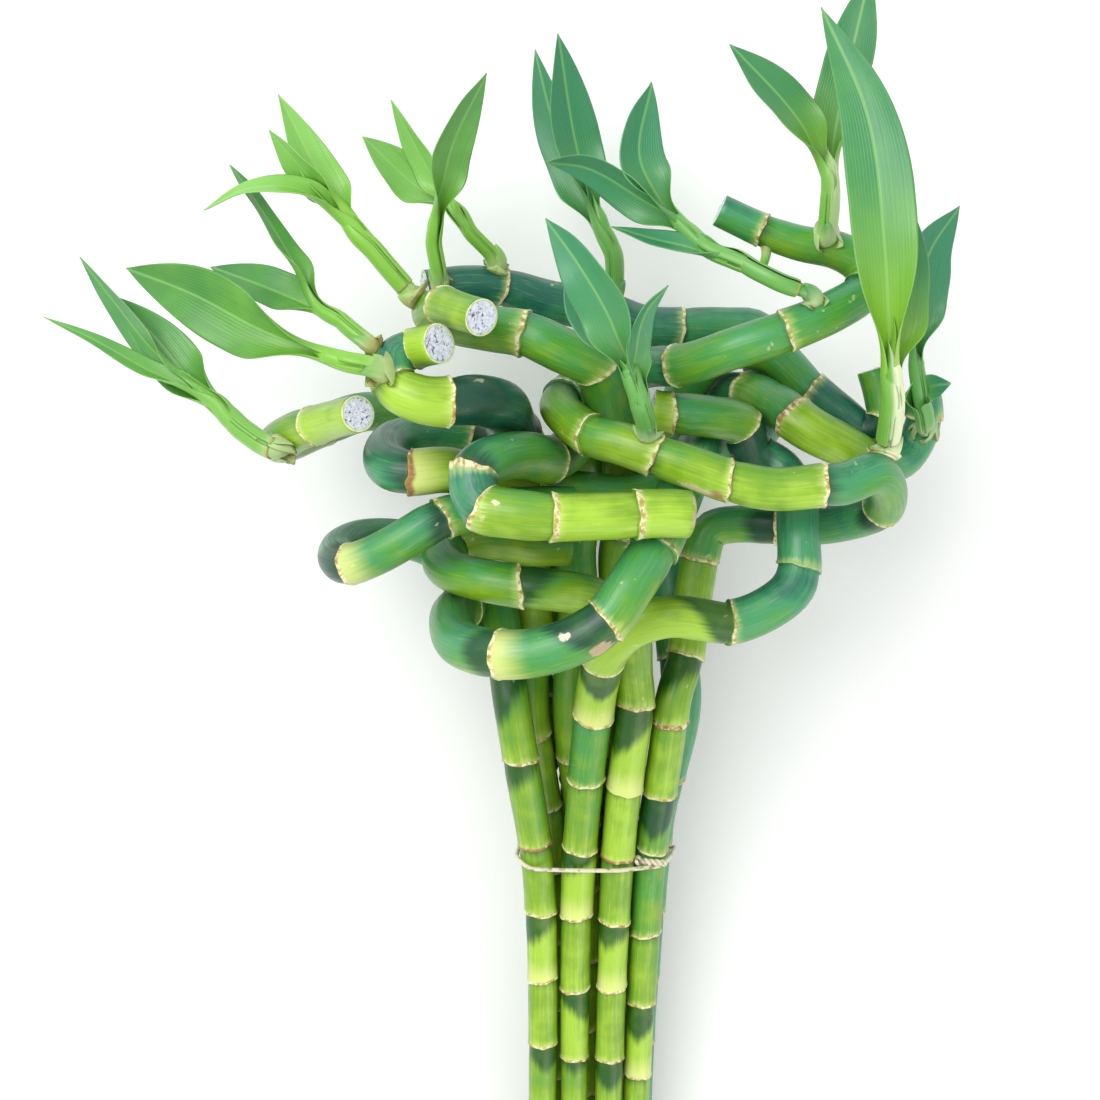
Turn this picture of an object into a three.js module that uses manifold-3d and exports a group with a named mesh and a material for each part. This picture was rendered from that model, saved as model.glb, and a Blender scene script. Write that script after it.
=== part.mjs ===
// Lucky bamboo: eleven curled canes tied in a bunch with a wire, with twelve leafy shoots.
// The bunch has no vase, so it lies down: +Y runs along it towards the crown, and +Z is up.
// Its weight rests on the lowest loops of canes 8 and 11 and on the cut feet of the back row.
// All sizes are in millimetres, and the origin is under the middle of the whole bunch.

import * as THREE from 'three';
import { mergeVertices } from 'three/addons/utils/BufferGeometryUtils.js';
import Module from 'manifold-3d';

const wasm = await Module();
wasm.setup();

// Driving dimensions of the straight part of the bunch
const TIE_CENTRE = new THREE.Vector3(26, -54, 35.4);
const FOOT_CENTRE = new THREE.Vector3(24.6, -186.5, 13.2);
const FOOT_SQUEEZE = 0.88;
const FOOT_RADIUS = 4;
const SLIM_LENGTH = 40;
const STRAIGHT_LENGTH = 182;
const THICKEN_LENGTH = 200;
const TIP_LENGTH = 60;

// How the canes keep clear of each other and of the surface
const CLEARANCE = 0.9;
const FLOOR_CLEARANCE = 0.05;
const ROUTE_STEP = 3;
const CURVE_STEPS = 12;
const OWN_LENGTH = 27;
const EASE_ROUNDS = 40;
const EASE_GAIN = 1.3;
const SMOOTHINGS = 6;
const HELD_FOOT = 40;

// Corners closer than this are one corner
const MERGE_DISTANCE = 1e-3;

// The node rings: an internode is widest at its foot and slightly waisted under the next ring
const RING_FLARE = 1.06;
const RING_WAIST = 0.95;
const RING_HALF = 0.4;
const BEND_STEP = 6;
const CANE_SIDES = 8;

// The leaves and the stems that carry them
const BLADE_THICKNESS = 0.8;
const BLADE_TIP = 0.9;
const BLADE_ROWS = 7;
const BLADE_TAPER = 1.8;
const BLADE_FOLD = THREE.MathUtils.degToRad(16);
const STEM_SIDES = 6;
const STEM_STEP = 9;
const STEM_SEAT = 0.3;
const STEM_END_MARGIN = 3;
const STEM_RISE = 1.5;

// The tie
const WIRE_RADIUS = 0.65;
const WIRE_SIDES = 6;
const WIRE_STEPS = 44;
const WIRE_CLEARANCE = 0.4;
const WIRE_PLACE = 1.8;
const WIRE_SLOPE = 0.36;
const WIRE_DIP = 1.6;
const TWIST_LENGTH = 9;
const TWIST_RADIUS = 1.3;
const TWIST_TAPER = 0.7;
const TWIST_LEAN = 0.8;
const TWIST_STEP = 5;
const TWIST_RISES = [1.2, 2, 2.2];

// A route point with this mark sits on a node ring
const RING = 'ring';

// Every cane: slot is its place in the tied bundle, as millimetres across and up from the bundle's
// axis; rings are the distances of its lower node rings from its cut foot; crown and tip are its
// radii in the crown and at its top; curl is its route above the straight part.
const CANES = {
  cane_1: {
    slot: [-16.2, 9.5], crown: 5.1, tip: 5, rings: [31, 54, 78, 100, 123, 146, 175],
    curl: [[3, -2, 58], [2, 7, 54, RING], [-1, 18, 48], [-7, 29, 44], [-16, 38, 46, RING],
      [-26, 43, 50], [-36, 45, 58], [-41, 45, 70], [-41, 44, 82], [-37, 44, 90, RING],
      [-30, 47, 93], [-23, 51, 94], [-14, 56, 92, RING], [-4, 58, 88], [8, 58, 82], [19, 57, 80]],
  },
  cane_2: {
    slot: [-12.2, -0.5], crown: 5.6, tip: 4.4, rings: [14, 37, 60, 84, 108, 131, 154, 178],
    curl: [[10, -4, 48], [9, 10, 46, RING], [7, 25, 45], [7, 39, 45, RING], [5, 50, 45],
      [-1, 62, 47], [-10, 71, 52, RING], [-20, 72, 58], [-27, 72, 66], [-29, 70, 78],
      [-27, 68, 86], [-22, 67, 89, RING], [-14, 67, 87], [-5, 64, 80], [8, 62, 72, RING],
      [24, 59, 64], [38, 63, 56], [51, 73, 50, RING], [63, 85, 50], [72, 91, 52],
      [82, 84, 54, RING], [90, 78, 56], [97, 73, 58], [102, 77, 60, RING], [101, 83, 59],
      [98, 90, 58]],
  },
  cane_3: {
    slot: [-2.6, -0.2], crown: 5.8, tip: 5.6, rings: [8, 31, 55, 78, 101, 125, 148, 171],
    curl: [[17, -5, 47], [18, 10, 46], [19, 25, 45, RING], [20, 39, 45], [22, 50, 45],
      [25, 59, 45, RING], [26, 66, 50], [23, 71, 62], [13, 72, 80, RING], [6, 73, 92],
      [-1, 72, 103], [-5, 70, 108, RING], [-5, 66, 110], [-3, 62, 113, RING], [3, 61, 115],
      [13, 60, 115, RING], [24, 60, 114], [33, 60, 113, RING], [46, 60, 111]],
  },
  cane_4: {
    slot: [-15.2, -10.5], crown: 5.9, tip: 4.8, rings: [20, 43, 66, 89, 113, 137, 160, 183],
    curl: [[12, -8, 36], [7, 4, 34, RING], [1, 15, 38], [-6, 23, 50], [-11, 27, 66, RING],
      [-12, 28, 84], [-9, 26, 100], [1, 26, 111, RING], [9, 27, 114], [18, 30, 115],
      [26, 35, 115, RING], [32, 43, 113], [38, 51, 106, RING], [43, 58, 94], [49, 67, 78, RING],
      [56, 75, 60], [64, 83, 46], [70, 91, 38, RING], [70, 98, 35], [61, 99, 34],
      [49, 99, 35, RING], [38, 100, 36], [27, 104, 38, RING], [13, 107, 43], [0, 111, 48, RING],
      [-10, 112, 52], [-20, 111, 55]],
  },
  cane_5: {
    slot: [6, 10], crown: 5.4, tip: 5, rings: [27, 49, 73, 98, 120, 142, 166, 193, 216],
    curl: [[36, 0, 62], [35, 10, 64], [34, 21, 70], [29, 30, 77], [21, 35, 84],
      [13, 37, 88], [6, 38, 89, RING], [-3, 39, 87], [-12, 40, 80], [-15, 42, 70],
      [-11, 43, 62, RING], [-3, 45, 62], [8, 43, 60], [18, 42, 56]],
  },
  cane_6: {
    slot: [-5, 10], crown: 5.5, tip: 5.4, rings: [26, 49, 73, 97, 122, 145, 169, 191, 216],
    curl: [[25, 1, 66], [26, 10, 72], [28, 21, 84], [34, 28, 90], [43, 31, 92],
      [51, 30, 91], [58, 29, 90, RING], [67, 32, 89], [74, 37, 87], [76, 42, 85, RING],
      [76, 51, 82], [76, 58, 76], [73, 65, 70], [66, 71, 68], [63, 77, 70, RING],
      [54, 79, 77], [43, 82, 80, RING], [36, 84, 78]],
  },
  cane_7: {
    slot: [15.2, 6.2], crown: 5.2, tip: 4, rings: [17, 41, 65, 90, 114, 143, 162, 186],
    curl: [[46, -2, 57], [50, 11, 53, RING], [52, 26, 50], [54, 37, 48, RING], [57, 45, 47],
      [65, 47, 48], [74, 47, 51, RING], [85, 48, 56], [94, 51, 63], [99, 55, 71, RING],
      [98, 62, 82], [93, 67, 91], [85, 65, 95], [80, 65, 97, RING], [68, 64, 97],
      [57, 66, 97, RING], [48, 69, 97], [39, 72, 96, RING], [30, 75, 94], [23, 76, 90, RING],
      [18, 78, 82], [19, 82, 72, RING], [26, 86, 68], [36, 89, 72], [44, 92, 83, RING],
      [58, 98, 92], [70, 102, 92, RING], [83, 107, 88], [91, 112, 82, RING], [91, 117, 79],
      [85, 121, 78], [75, 123, 78], [66, 126, 78, RING], [55, 131, 78]],
  },
  cane_8: {
    slot: [16.4, -4.6], crown: 5.8, tip: 4.8, rings: [22, 45, 69, 92, 115, 139, 162],
    curl: [[50, -6, 42], [49, 8, 40, RING], [47, 24, 38], [46, 38, 33, RING], [45, 52, 17],
      [51, 68, 6, RING], [57, 80, 22], [63, 81, 52, RING], [74, 78, 70, RING], [85, 73, 72],
      [96, 68, 66, RING], [105, 67, 60], [109, 71, 58], [110, 78, 60, RING], [109, 83, 61]],
  },
  cane_9: {
    slot: [7.4, -1.2], crown: 5.7, tip: 4.5, rings: [10, 33, 57, 80, 103, 127, 150, 174],
    curl: [[30, -4, 49], [30, 11, 46, RING], [30, 28, 43], [32, 44, 43, RING], [32, 60, 52],
      [31, 73, 64, RING], [27, 85, 76], [24, 93, 84, RING], [16, 97, 87], [7, 101, 87, RING],
      [-2, 102, 82], [-11, 103, 76], [-16, 105, 77, RING], [-15, 107, 85], [-13, 108, 90, RING],
      [-8, 107, 98], [-3, 106, 105]],
  },
  cane_10: {
    slot: [-4.8, -10.5], crown: 6.5, tip: 4.8, rings: [16, 39, 62, 86, 109, 133, 156],
    curl: [[22, -8, 34], [19, 8, 33, RING], [16, 25, 32], [13, 43, 34, RING], [9, 60, 46],
      [5, 73, 70, RING], [2, 82, 88], [-5, 86, 100], [-11, 86, 104, RING], [-18, 87, 106],
      [-24, 90, 104, RING], [-24, 96, 99], [-20, 98, 98, RING], [-13, 100, 104]],
  },
  cane_11: {
    slot: [5, -10.8], crown: 5.5, tip: 4.6, rings: [26, 50, 73, 96, 119, 143, 166],
    curl: [[28, -10, 28], [25, 6, 24, RING], [17, 22, 16], [6, 40, 9, RING], [-9, 57, 6],
      [-24, 69, 8, RING], [-38, 75, 22], [-49, 73, 38, RING], [-56, 71, 54], [-57, 72, 68],
      [-51, 76, 78], [-46, 78, 84, RING], [-41, 80, 90], [-33, 83, 102]],
  },
};

// Every shoot: stem is its route, whose first point only says on which side of its cane it leaves,
// and thick is its stem's radius at the foot and at the top. A blade has its rib, its width, the
// width of its neck, how far along it is widest, and its roll about the rib in degrees.
const blade = (width, neck, belly, roll, rib) => ({ width, neck, belly, roll, rib });
const SHOOTS = {
  shoot_1: {
    cane: 'cane_11', thick: [3, 2.6],
    stem: [[-58, 70, 83], [-65, 76, 76], [-74, 83, 70], [-80, 87, 67]],
    blades: [
      blade(14, 5, 0.45, 12, [[-70, 80, 72], [-81, 88, 63], [-91, 99, 58], [-102, 109, 54]]),
      blade(10, 4, 0.45, -38, [[-77, 85, 68], [-91, 96, 61], [-101, 108, 58], [-110, 119, 55]]),
      blade(7, 4, 0.3, 50, [[-73, 83, 71], [-90, 90, 67], [-104, 98, 67], [-117, 104, 66]]),
    ],
  },
  shoot_2: {
    cane: 'cane_10', thick: [2.7, 2.2],
    stem: [[-28, 95, 112], [-35, 96, 109], [-43, 98, 106]],
    blades: [
      blade(17, 6, 0.5, -10, [[-39, 97, 107], [-56, 103, 101], [-73, 111, 94], [-91, 117, 85]]),
    ],
  },
  shoot_3: {
    cane: 'cane_10', thick: [2.2, 1.8],
    stem: [[-32, 102, 99], [-38, 105, 96], [-45, 108, 92]],
    blades: [
      blade(11.5, 4, 0.5, 32, [[-39, 106, 95], [-48, 109, 89], [-59, 113, 84], [-72, 117, 76]]),
      blade(6, 3, 0.72, 62, [[-43, 108, 93], [-50, 119, 88], [-57, 130, 84], [-66, 142, 78]]),
    ],
  },
  shoot_4: {
    cane: 'cane_9', thick: [2.8, 2.2],
    stem: [[-27, 115, 82], [-31, 122, 83], [-40, 133, 81]],
    blades: [
      blade(11.5, 6, 0.35, 34, [[-35, 126, 83], [-45, 142, 80], [-54, 159, 75]]),
      blade(10.5, 5, 0.5, -48, [[-38, 131, 82], [-48, 142, 85], [-55, 150, 85]]),
      blade(8, 4, 0.35, 56, [[-37, 129, 83], [-49, 136, 87], [-60, 136, 87], [-72, 131, 82]]),
    ],
  },
  shoot_5: {
    cane: 'cane_4', thick: [2.1, 1.9],
    stem: [[-16, 113, 68], [-17, 126, 63], [-15, 133, 66]],
    blades: [
      blade(12, 5, 0.4, 38, [[-16, 128, 64], [-12, 146, 69], [-3, 165, 64]]),
    ],
  },
  shoot_6: {
    cane: 'cane_4', thick: [2.2, 1.8],
    stem: [[0, 120, 53], [-9, 127, 56], [-13, 134, 55]],
    blades: [
      blade(10, 5, 0.35, -46, [[-13, 132, 55], [-21, 146, 53], [-28, 159, 55]]),
      blade(13, 4, 0.5, 26, [[-11, 131, 55], [-22, 137, 48], [-36, 150, 50]]),
    ],
  },
  shoot_7: {
    cane: 'cane_4', thick: [2.6, 2.2],
    stem: [[31, 112, 44], [30, 119, 46], [27, 127, 47], [24, 136, 47]],
    blades: [
      blade(14, 5, 0.45, 22, [[26, 128, 47], [20, 147, 47], [15, 176, 50]]),
      blade(12, 4, 0.5, -30, [[27, 125, 46], [15, 151, 39], [9, 173, 38]]),
    ],
  },
  shoot_8: {
    cane: 'cane_7', thick: [2, 2.2],
    stem: [[75, 112, 95], [68, 114, 96], [60, 118, 93], [51, 122, 88], [43, 130, 82]],
    blades: [
      blade(12, 5, 0.4, -40, [[47, 126, 84], [35, 134, 82], [23, 141, 78], [12, 143, 69]]),
      blade(13, 5, 0.45, 24, [[44, 129, 83], [35, 143, 81], [38, 162, 75]]),
      blade(8, 4, 0.4, 50, [[57, 120, 91], [47, 122, 89], [38, 124, 85], [28, 127, 84]]),
    ],
  },
  shoot_9: {
    cane: 'cane_7', thick: [2.2, 2.5],
    stem: [[38, 81, 102], [34, 87, 108], [31, 96, 110]],
    blades: [
      blade(13.5, 6, 0.45, -28, [[32, 92, 109], [27, 106, 113], [20, 118, 113], [12, 129, 106]]),
      blade(8, 5, 0.35, 40, [[34, 89, 108], [33, 100, 113], [35, 108, 116], [40, 114, 117]]),
      blade(14, 5, 0.5, 18, [[32, 94, 109], [24, 105, 101], [17, 119, 96]]),
    ],
  },
  shoot_10: {
    cane: 'cane_7', thick: [3, 2.8],
    stem: [[98, 80, 88], [96, 85, 97], [95, 93, 101], [93, 101, 104]],
    blades: [
      blade(16, 7, 0.5, -8, [[95, 90, 99], [91, 122, 107], [87, 152, 102], [77, 178, 91]]),
      blade(13, 5, 0.5, 28, [[95, 92, 100], [98, 117, 97], [97, 136, 92]]),
    ],
  },
  shoot_11: {
    cane: 'cane_8', thick: [2.6, 2.1],
    stem: [[111, 83, 69], [107, 88, 73], [106, 96, 74]],
    blades: [
      blade(14.5, 5, 0.5, 20, [[106, 93, 74], [106, 106, 74], [108, 120, 74], [116, 132, 71]]),
      blade(7, 4, 0.4, 0, [[107, 85, 73], [110, 87, 76], [114, 88, 78]]),
    ],
  },
  shoot_12: {
    cane: 'cane_7', thick: [2.5, 2.2],
    stem: [[82, 127, 86], [81, 136, 87], [80, 146, 87]],
    blades: [
      blade(12.5, 5, 0.5, 30, [[80, 141, 87], [71, 154, 89], [56, 170, 86]]),
      blade(13, 5, 0.55, -22, [[81, 138, 86], [83, 150, 79], [92, 189, 70]]),
    ],
  },
};

// Routes

const UP = new THREE.Vector3(0, 0, 1);

function toVector(point) {
  return new THREE.Vector3(point[0], point[1], point[2]);
}

function smoothStep(x) {
  const t = THREE.MathUtils.clamp(x, 0, 1);
  return t * t * (3 - 2 * t);
}

// A smooth curve through hand-chosen points, as points a near-equal step apart.
// marks are the distances of the chosen points themselves along it.
function makeRoute(points, step) {
  const curve = new THREE.CatmullRomCurve3(points, false, 'centripetal');
  const fine = curve.getPoints(CURVE_STEPS * (points.length - 1));
  const run = [0];
  for (let i = 1; i < fine.length; i += 1) {
    run.push(run[i - 1] + fine[i].distanceTo(fine[i - 1]));
  }
  const length = run[run.length - 1];
  const count = Math.max(2, Math.round(length / step));
  const even = [];
  let k = 0;
  for (let i = 0; i <= count; i += 1) {
    const s = (length * i) / count;
    while (k < run.length - 2 && run[k + 1] < s) k += 1;
    even.push(fine[k].clone().lerp(fine[k + 1], (s - run[k]) / (run[k + 1] - run[k])));
  }
  return { points: even, length, marks: points.map((p, i) => run[i * CURVE_STEPS]) };
}

// The point and the frame at a distance along a route; the frame is carried along without twisting.
function addFrames(route) {
  const { points } = route;
  const last = points.length - 1;
  route.tangents = points.map((p, i) => new THREE.Vector3()
    .subVectors(points[Math.min(i + 1, last)], points[Math.max(i - 1, 0)]).normalize());
  let normal = UP.clone();
  route.normals = route.tangents.map((t) => {
    normal = normal.clone().addScaledVector(t, -normal.dot(t)).normalize();
    return normal;
  });
  return route;
}

function frameAt(route, distance) {
  const last = route.points.length - 1;
  const x = THREE.MathUtils.clamp((distance / route.length) * last, 0, last);
  const i = Math.min(Math.floor(x), last - 1);
  const centre = route.points[i].clone().lerp(route.points[i + 1], x - i);
  const tangent = route.tangents[i].clone().lerp(route.tangents[i + 1], x - i).normalize();
  const normal = route.normals[i].clone().lerp(route.normals[i + 1], x - i);
  normal.addScaledVector(tangent, -normal.dot(tangent)).normalize();
  return { centre, tangent, normal, side: new THREE.Vector3().crossVectors(normal, tangent) };
}

// The straight part of the bundle: its axis, and the two directions across it

const bundleAxis = new THREE.Vector3().subVectors(TIE_CENTRE, FOOT_CENTRE).normalize();
const bundleUp = new THREE.Vector3(1, 0, 0).cross(bundleAxis).normalize();
const bundleAcross = new THREE.Vector3().crossVectors(bundleAxis, bundleUp);

function inBundle(centre, slot, scale) {
  return centre.clone()
    .addScaledVector(bundleAcross, slot[0] * scale)
    .addScaledVector(bundleUp, slot[1] * scale);
}

// A cane is slim at its foot, thickens towards the crown and slims again at its tip
function caneRadius(cane, distance) {
  const crown = smoothStep((distance - SLIM_LENGTH) / THICKEN_LENGTH);
  const tip = smoothStep((distance - cane.route.length + TIP_LENGTH) / TIP_LENGTH);
  return FOOT_RADIUS + (cane.crown - FOOT_RADIUS) * crown + (cane.tip - cane.crown) * tip;
}

function layCane({ slot, rings, crown, tip, curl }) {
  const below = [inBundle(FOOT_CENTRE, slot, FOOT_SQUEEZE), inBundle(TIE_CENTRE, slot, 1)];
  const route = makeRoute([...below, ...curl.map(toVector)], ROUTE_STEP);
  const curlRings = curl.map((p, i) => (p[3] === RING ? route.marks[i + below.length] : 0));
  const cane = { route, crown, tip, rings: [...rings, ...curlRings.filter((s) => s > 0)] };
  const step = route.length / (route.points.length - 1);
  cane.radii = route.points.map((p, i) => caneRadius(cane, i * step));
  return cane;
}

// Pushes canes that come too close apart, half of the way each, smoothly and in small rounds.
// The cut feet stay, and no cane sinks below the surface that the bunch lies on.
function easeApart(canes) {
  for (let round = 0; round < EASE_ROUNDS; round += 1) {
    const moves = canes.map((cane) => pushesOn(cane, canes));
    canes.forEach((cane, c) => {
      const move = smoothed(moves[c]);
      cane.route.points.forEach((p, i) => {
        const held = Math.min(1, (i * ROUTE_STEP) / HELD_FOOT);
        p.addScaledVector(move[i], EASE_GAIN * held);
        p.z = Math.max(p.z, cane.radii[i] + FLOOR_CLEARANCE);
      });
    });
  }
}

// For each point of a cane, the push from the deepest intruder of every cane, itself included
function pushesOn(cane, canes) {
  const gap = new THREE.Vector3();
  return cane.route.points.map((p, i) => {
    const push = new THREE.Vector3();
    for (const other of canes) {
      let deepest = 0;
      let from = null;
      other.route.points.forEach((q, j) => {
        if (other === cane && Math.abs(i - j) * ROUTE_STEP < OWN_LENGTH) return;
        const depth = cane.radii[i] + other.radii[j] + CLEARANCE - p.distanceTo(q);
        if (depth > deepest) {
          deepest = depth;
          from = q;
        }
      });
      if (from) push.addScaledVector(gap.subVectors(p, from).normalize(), deepest / 2);
    }
    return push;
  });
}

function smoothed(vectors) {
  let now = vectors;
  for (let k = 0; k < SMOOTHINGS; k += 1) {
    now = now.map((v, i) => {
      if (i === 0 || i === now.length - 1) return v;
      return now[i - 1].clone().addScaledVector(v, 2).add(now[i + 1]).divideScalar(4);
    });
  }
  return now;
}

// Closed meshes

// Shared corners are merged and the collapsed triangles at the poles of a lathe are dropped
function closedMesh(geometry) {
  geometry.deleteAttribute('normal');
  geometry.deleteAttribute('uv');
  const merged = mergeVertices(geometry, MERGE_DISTANCE);
  const { array } = merged.index;
  const kept = [];
  for (let i = 0; i < array.length; i += 3) {
    const [a, b, c] = [array[i], array[i + 1], array[i + 2]];
    if (a !== b && b !== c && c !== a) kept.push(a, b, c);
  }
  merged.setIndex(kept);
  return merged;
}

function toSolid(geometry) {
  const closed = closedMesh(geometry);
  return new wasm.Manifold(new wasm.Mesh({
    numProp: 3,
    vertProperties: closed.attributes.position.array,
    triVerts: Uint32Array.from(closed.index.array),
  }));
}

function fromSolid(solid) {
  const { vertProperties, triVerts } = solid.getMesh();
  const geometry = new THREE.BufferGeometry();
  geometry.setAttribute('position', new THREE.BufferAttribute(vertProperties, 3));
  geometry.setIndex(new THREE.BufferAttribute(triVerts, 1));
  return geometry;
}

function fuse(geometries) {
  return fromSolid(geometries.map(toSolid).reduce((whole, piece) => whole.add(piece)));
}

// A lathed profile of [radius, distance] pairs, bent so that its axis follows a route
function bentLathe(profile, sides, route) {
  const points = profile.map(([radius, distance]) => new THREE.Vector2(radius, distance));
  const geometry = new THREE.LatheGeometry(points, sides);
  const place = geometry.attributes.position;
  for (let i = 0; i < place.count; i += 1) {
    const { centre, normal, side } = frameAt(route, place.getY(i));
    centre.addScaledVector(normal, place.getX(i)).addScaledVector(side, place.getZ(i));
    place.setXYZ(i, centre.x, centre.y, centre.z);
  }
  return geometry;
}

// Canes

// Sections of a cane from foot to tip: a waist and a flare at each ring, and plain sections
// between the rings where the cane bends
function caneProfile(cane) {
  const { length } = cane.route;
  const sections = [];
  const section = (distance, factor) => sections.push([caneRadius(cane, distance) * factor, distance]);
  const stops = [0, ...cane.rings.filter((s) => s < length - BEND_STEP), length];
  const straightEnd = Math.max(...cane.rings.filter((s) => s < STRAIGHT_LENGTH));
  sections.push([0, 0]);
  for (let k = 0; k < stops.length - 1; k += 1) {
    const [from, to] = [stops[k], stops[k + 1]];
    section(k === 0 ? 0 : from + RING_HALF, k === 0 ? 1 : RING_FLARE);
    const between = from < straightEnd ? 1 : Math.max(1, Math.round((to - from) / BEND_STEP));
    for (let j = 1; j < between; j += 1) {
      section(THREE.MathUtils.lerp(from, to, j / between), 1);
    }
    section(to === length ? length : to - RING_HALF, to === length ? 1 : RING_WAIST);
  }
  sections.push([0, length]);
  return sections;
}

// Shoots

// How far a cane's many-sided skin reaches in a direction, over a short span of its length
function caneReach(cane, distance, out, span) {
  const { normal, side } = frameAt(cane.route, distance);
  const turn = (2 * Math.PI) / CANE_SIDES;
  const angle = Math.atan2(out.dot(side), out.dot(normal));
  const fromCorner = angle - turn * Math.round(angle / turn);
  const near = caneProfile(cane).filter(([, s]) => Math.abs(s - distance) < span);
  return Math.max(caneRadius(cane, distance), ...near.map(([radius]) => radius)) * Math.cos(fromCorner);
}

// A stem leaves its cane's side squarely and then follows its route
function layStem({ stem, thick }, cane) {
  const towards = toVector(stem[0]);
  const { points, length } = cane.route;
  const step = length / (points.length - 1);
  const whole = points.slice(0, -Math.ceil(STEM_END_MARGIN / step));
  const nearest = whole.reduce((best, p, i) => (
    p.distanceTo(towards) < whole[best].distanceTo(towards) ? i : best), 0);
  const out = new THREE.Vector3().subVectors(towards, points[nearest]);
  const { tangent } = frameAt(cane.route, nearest * step);
  out.addScaledVector(tangent, -out.dot(tangent)).normalize();
  const reach = caneReach(cane, nearest * step, out, thick[0]);
  const foot = points[nearest].clone().addScaledVector(out, reach + STEM_SEAT);
  const rise = foot.clone().addScaledVector(out, STEM_RISE);
  return addFrames(makeRoute([foot, rise, ...stem.slice(1).map(toVector)], 1));
}

function stemProfile(route, [foot, top]) {
  const count = Math.max(2, Math.round(route.length / STEM_STEP));
  const sections = [[0, 0]];
  for (let i = 0; i <= count; i += 1) {
    sections.push([THREE.MathUtils.lerp(foot, top, i / count), (route.length * i) / count]);
  }
  sections.push([0, route.length]);
  return sections;
}

// A blade widens from its neck to its belly and then narrows to its tip in one long curve
function bladeWidth({ width, neck, belly }, t) {
  const opened = neck + (width - neck) * smoothStep(t / belly);
  const past = Math.max(0, (t - belly) / (1 - belly));
  return Math.max(BLADE_TIP, opened * (1 - past ** BLADE_TAPER));
}

// A blade is a folded sheet along its rib, a little thick, with both faces cut into the same triangles
function bladeSolid(leaf) {
  const route = addFrames(makeRoute(leaf.rib.map(toVector), 1));
  const roll = THREE.MathUtils.degToRad(leaf.roll);
  const face = new THREE.PlaneGeometry(2, 1, 2, BLADE_ROWS);
  const corners = face.attributes.position.count;
  const places = [];
  for (const half of [BLADE_THICKNESS / 2, -BLADE_THICKNESS / 2]) {
    for (let i = 0; i < corners; i += 1) {
      const t = 0.5 - face.attributes.position.getY(i);
      const across = (face.attributes.position.getX(i) * bladeWidth(leaf, t)) / 2;
      const { centre, tangent } = frameAt(route, t * route.length);
      const level = UP.clone().addScaledVector(tangent, -UP.dot(tangent)).normalize();
      const normal = level.applyAxisAngle(tangent, roll);
      const side = new THREE.Vector3().crossVectors(normal, tangent);
      centre.addScaledVector(side, across * Math.cos(BLADE_FOLD));
      centre.addScaledVector(normal, Math.abs(across) * Math.sin(BLADE_FOLD) + half);
      places.push(centre.x, centre.y, centre.z);
    }
  }
  const upper = Array.from(face.index.array);
  const lower = [];
  const edges = new Map();
  for (let i = 0; i < upper.length; i += 3) {
    const [a, b, c] = upper.slice(i, i + 3);
    lower.push(c + corners, b + corners, a + corners);
    for (const [from, to] of [[a, b], [b, c], [c, a]]) edges.set(`${from} ${to}`, [from, to]);
  }
  const rim = [];
  for (const [from, to] of edges.values()) {
    if (edges.has(`${to} ${from}`)) continue;
    rim.push(to, from, from + corners, to, from + corners, to + corners);
  }
  const geometry = new THREE.BufferGeometry();
  geometry.setAttribute('position', new THREE.Float32BufferAttribute(places, 3));
  geometry.setIndex([...upper, ...lower, ...rim]);
  return geometry;
}

function shootGeometry(shoot, cane) {
  const route = layStem(shoot, cane);
  const stem = bentLathe(stemProfile(route, shoot.thick), STEM_SIDES, route);
  return fuse([stem, ...shoot.blades.map(bladeSolid)]);
}

// Tie

// How far a point on the tie's leaning plane lies along the bundle, by its height over the axis
const tieAhead = (height) => WIRE_PLACE + WIRE_SLOPE * height;

// Where each cane crosses the plane of the tie, as its centre and radius across the bundle
function sectionsAtTie(canes) {
  return canes.map(({ route, radii }) => {
    const { points } = route;
    const ahead = (p) => {
      const offset = new THREE.Vector3().subVectors(p, TIE_CENTRE);
      return offset.dot(bundleAxis) - tieAhead(offset.dot(bundleUp));
    };
    const i = points.findIndex((p) => ahead(p) > 0);
    const share = ahead(points[i - 1]) / (ahead(points[i - 1]) - ahead(points[i]));
    const offset = points[i - 1].clone().lerp(points[i], share).sub(TIE_CENTRE);
    return { x: offset.dot(bundleAcross), y: offset.dot(bundleUp), radius: radii[i] };
  });
}

// The wire's centre line runs round the canes like a stretched loop, and dips above and below them
function tieLoop(sections) {
  const loop = [];
  for (let i = 0; i < WIRE_STEPS; i += 1) {
    const angle = (2 * Math.PI * i) / WIRE_STEPS;
    const [x, y] = [Math.cos(angle), Math.sin(angle)];
    const outermost = sections.reduce((a, b) => (
      b.x * x + b.y * y + b.radius > a.x * x + a.y * y + a.radius ? b : a));
    const reach = outermost.radius * RING_FLARE + WIRE_RADIUS + WIRE_CLEARANCE;
    const place = [outermost.x + x * reach, outermost.y + y * reach];
    loop.push(inBundle(TIE_CENTRE, place, 1)
      .addScaledVector(bundleAxis, tieAhead(place[1]) + WIRE_DIP * Math.cos(2 * angle)));
  }
  return loop;
}

// The wire's twisted ends start on the loop and lie over the front canes, a little further out
function twistPoints(start) {
  return TWIST_RISES.map((rise, i) => start.clone()
    .addScaledVector(bundleUp, rise)
    .addScaledVector(bundleAcross, (-TWIST_LENGTH * i) / (TWIST_RISES.length - 1))
    .addScaledVector(bundleAxis, i * TWIST_LEAN));
}

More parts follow.
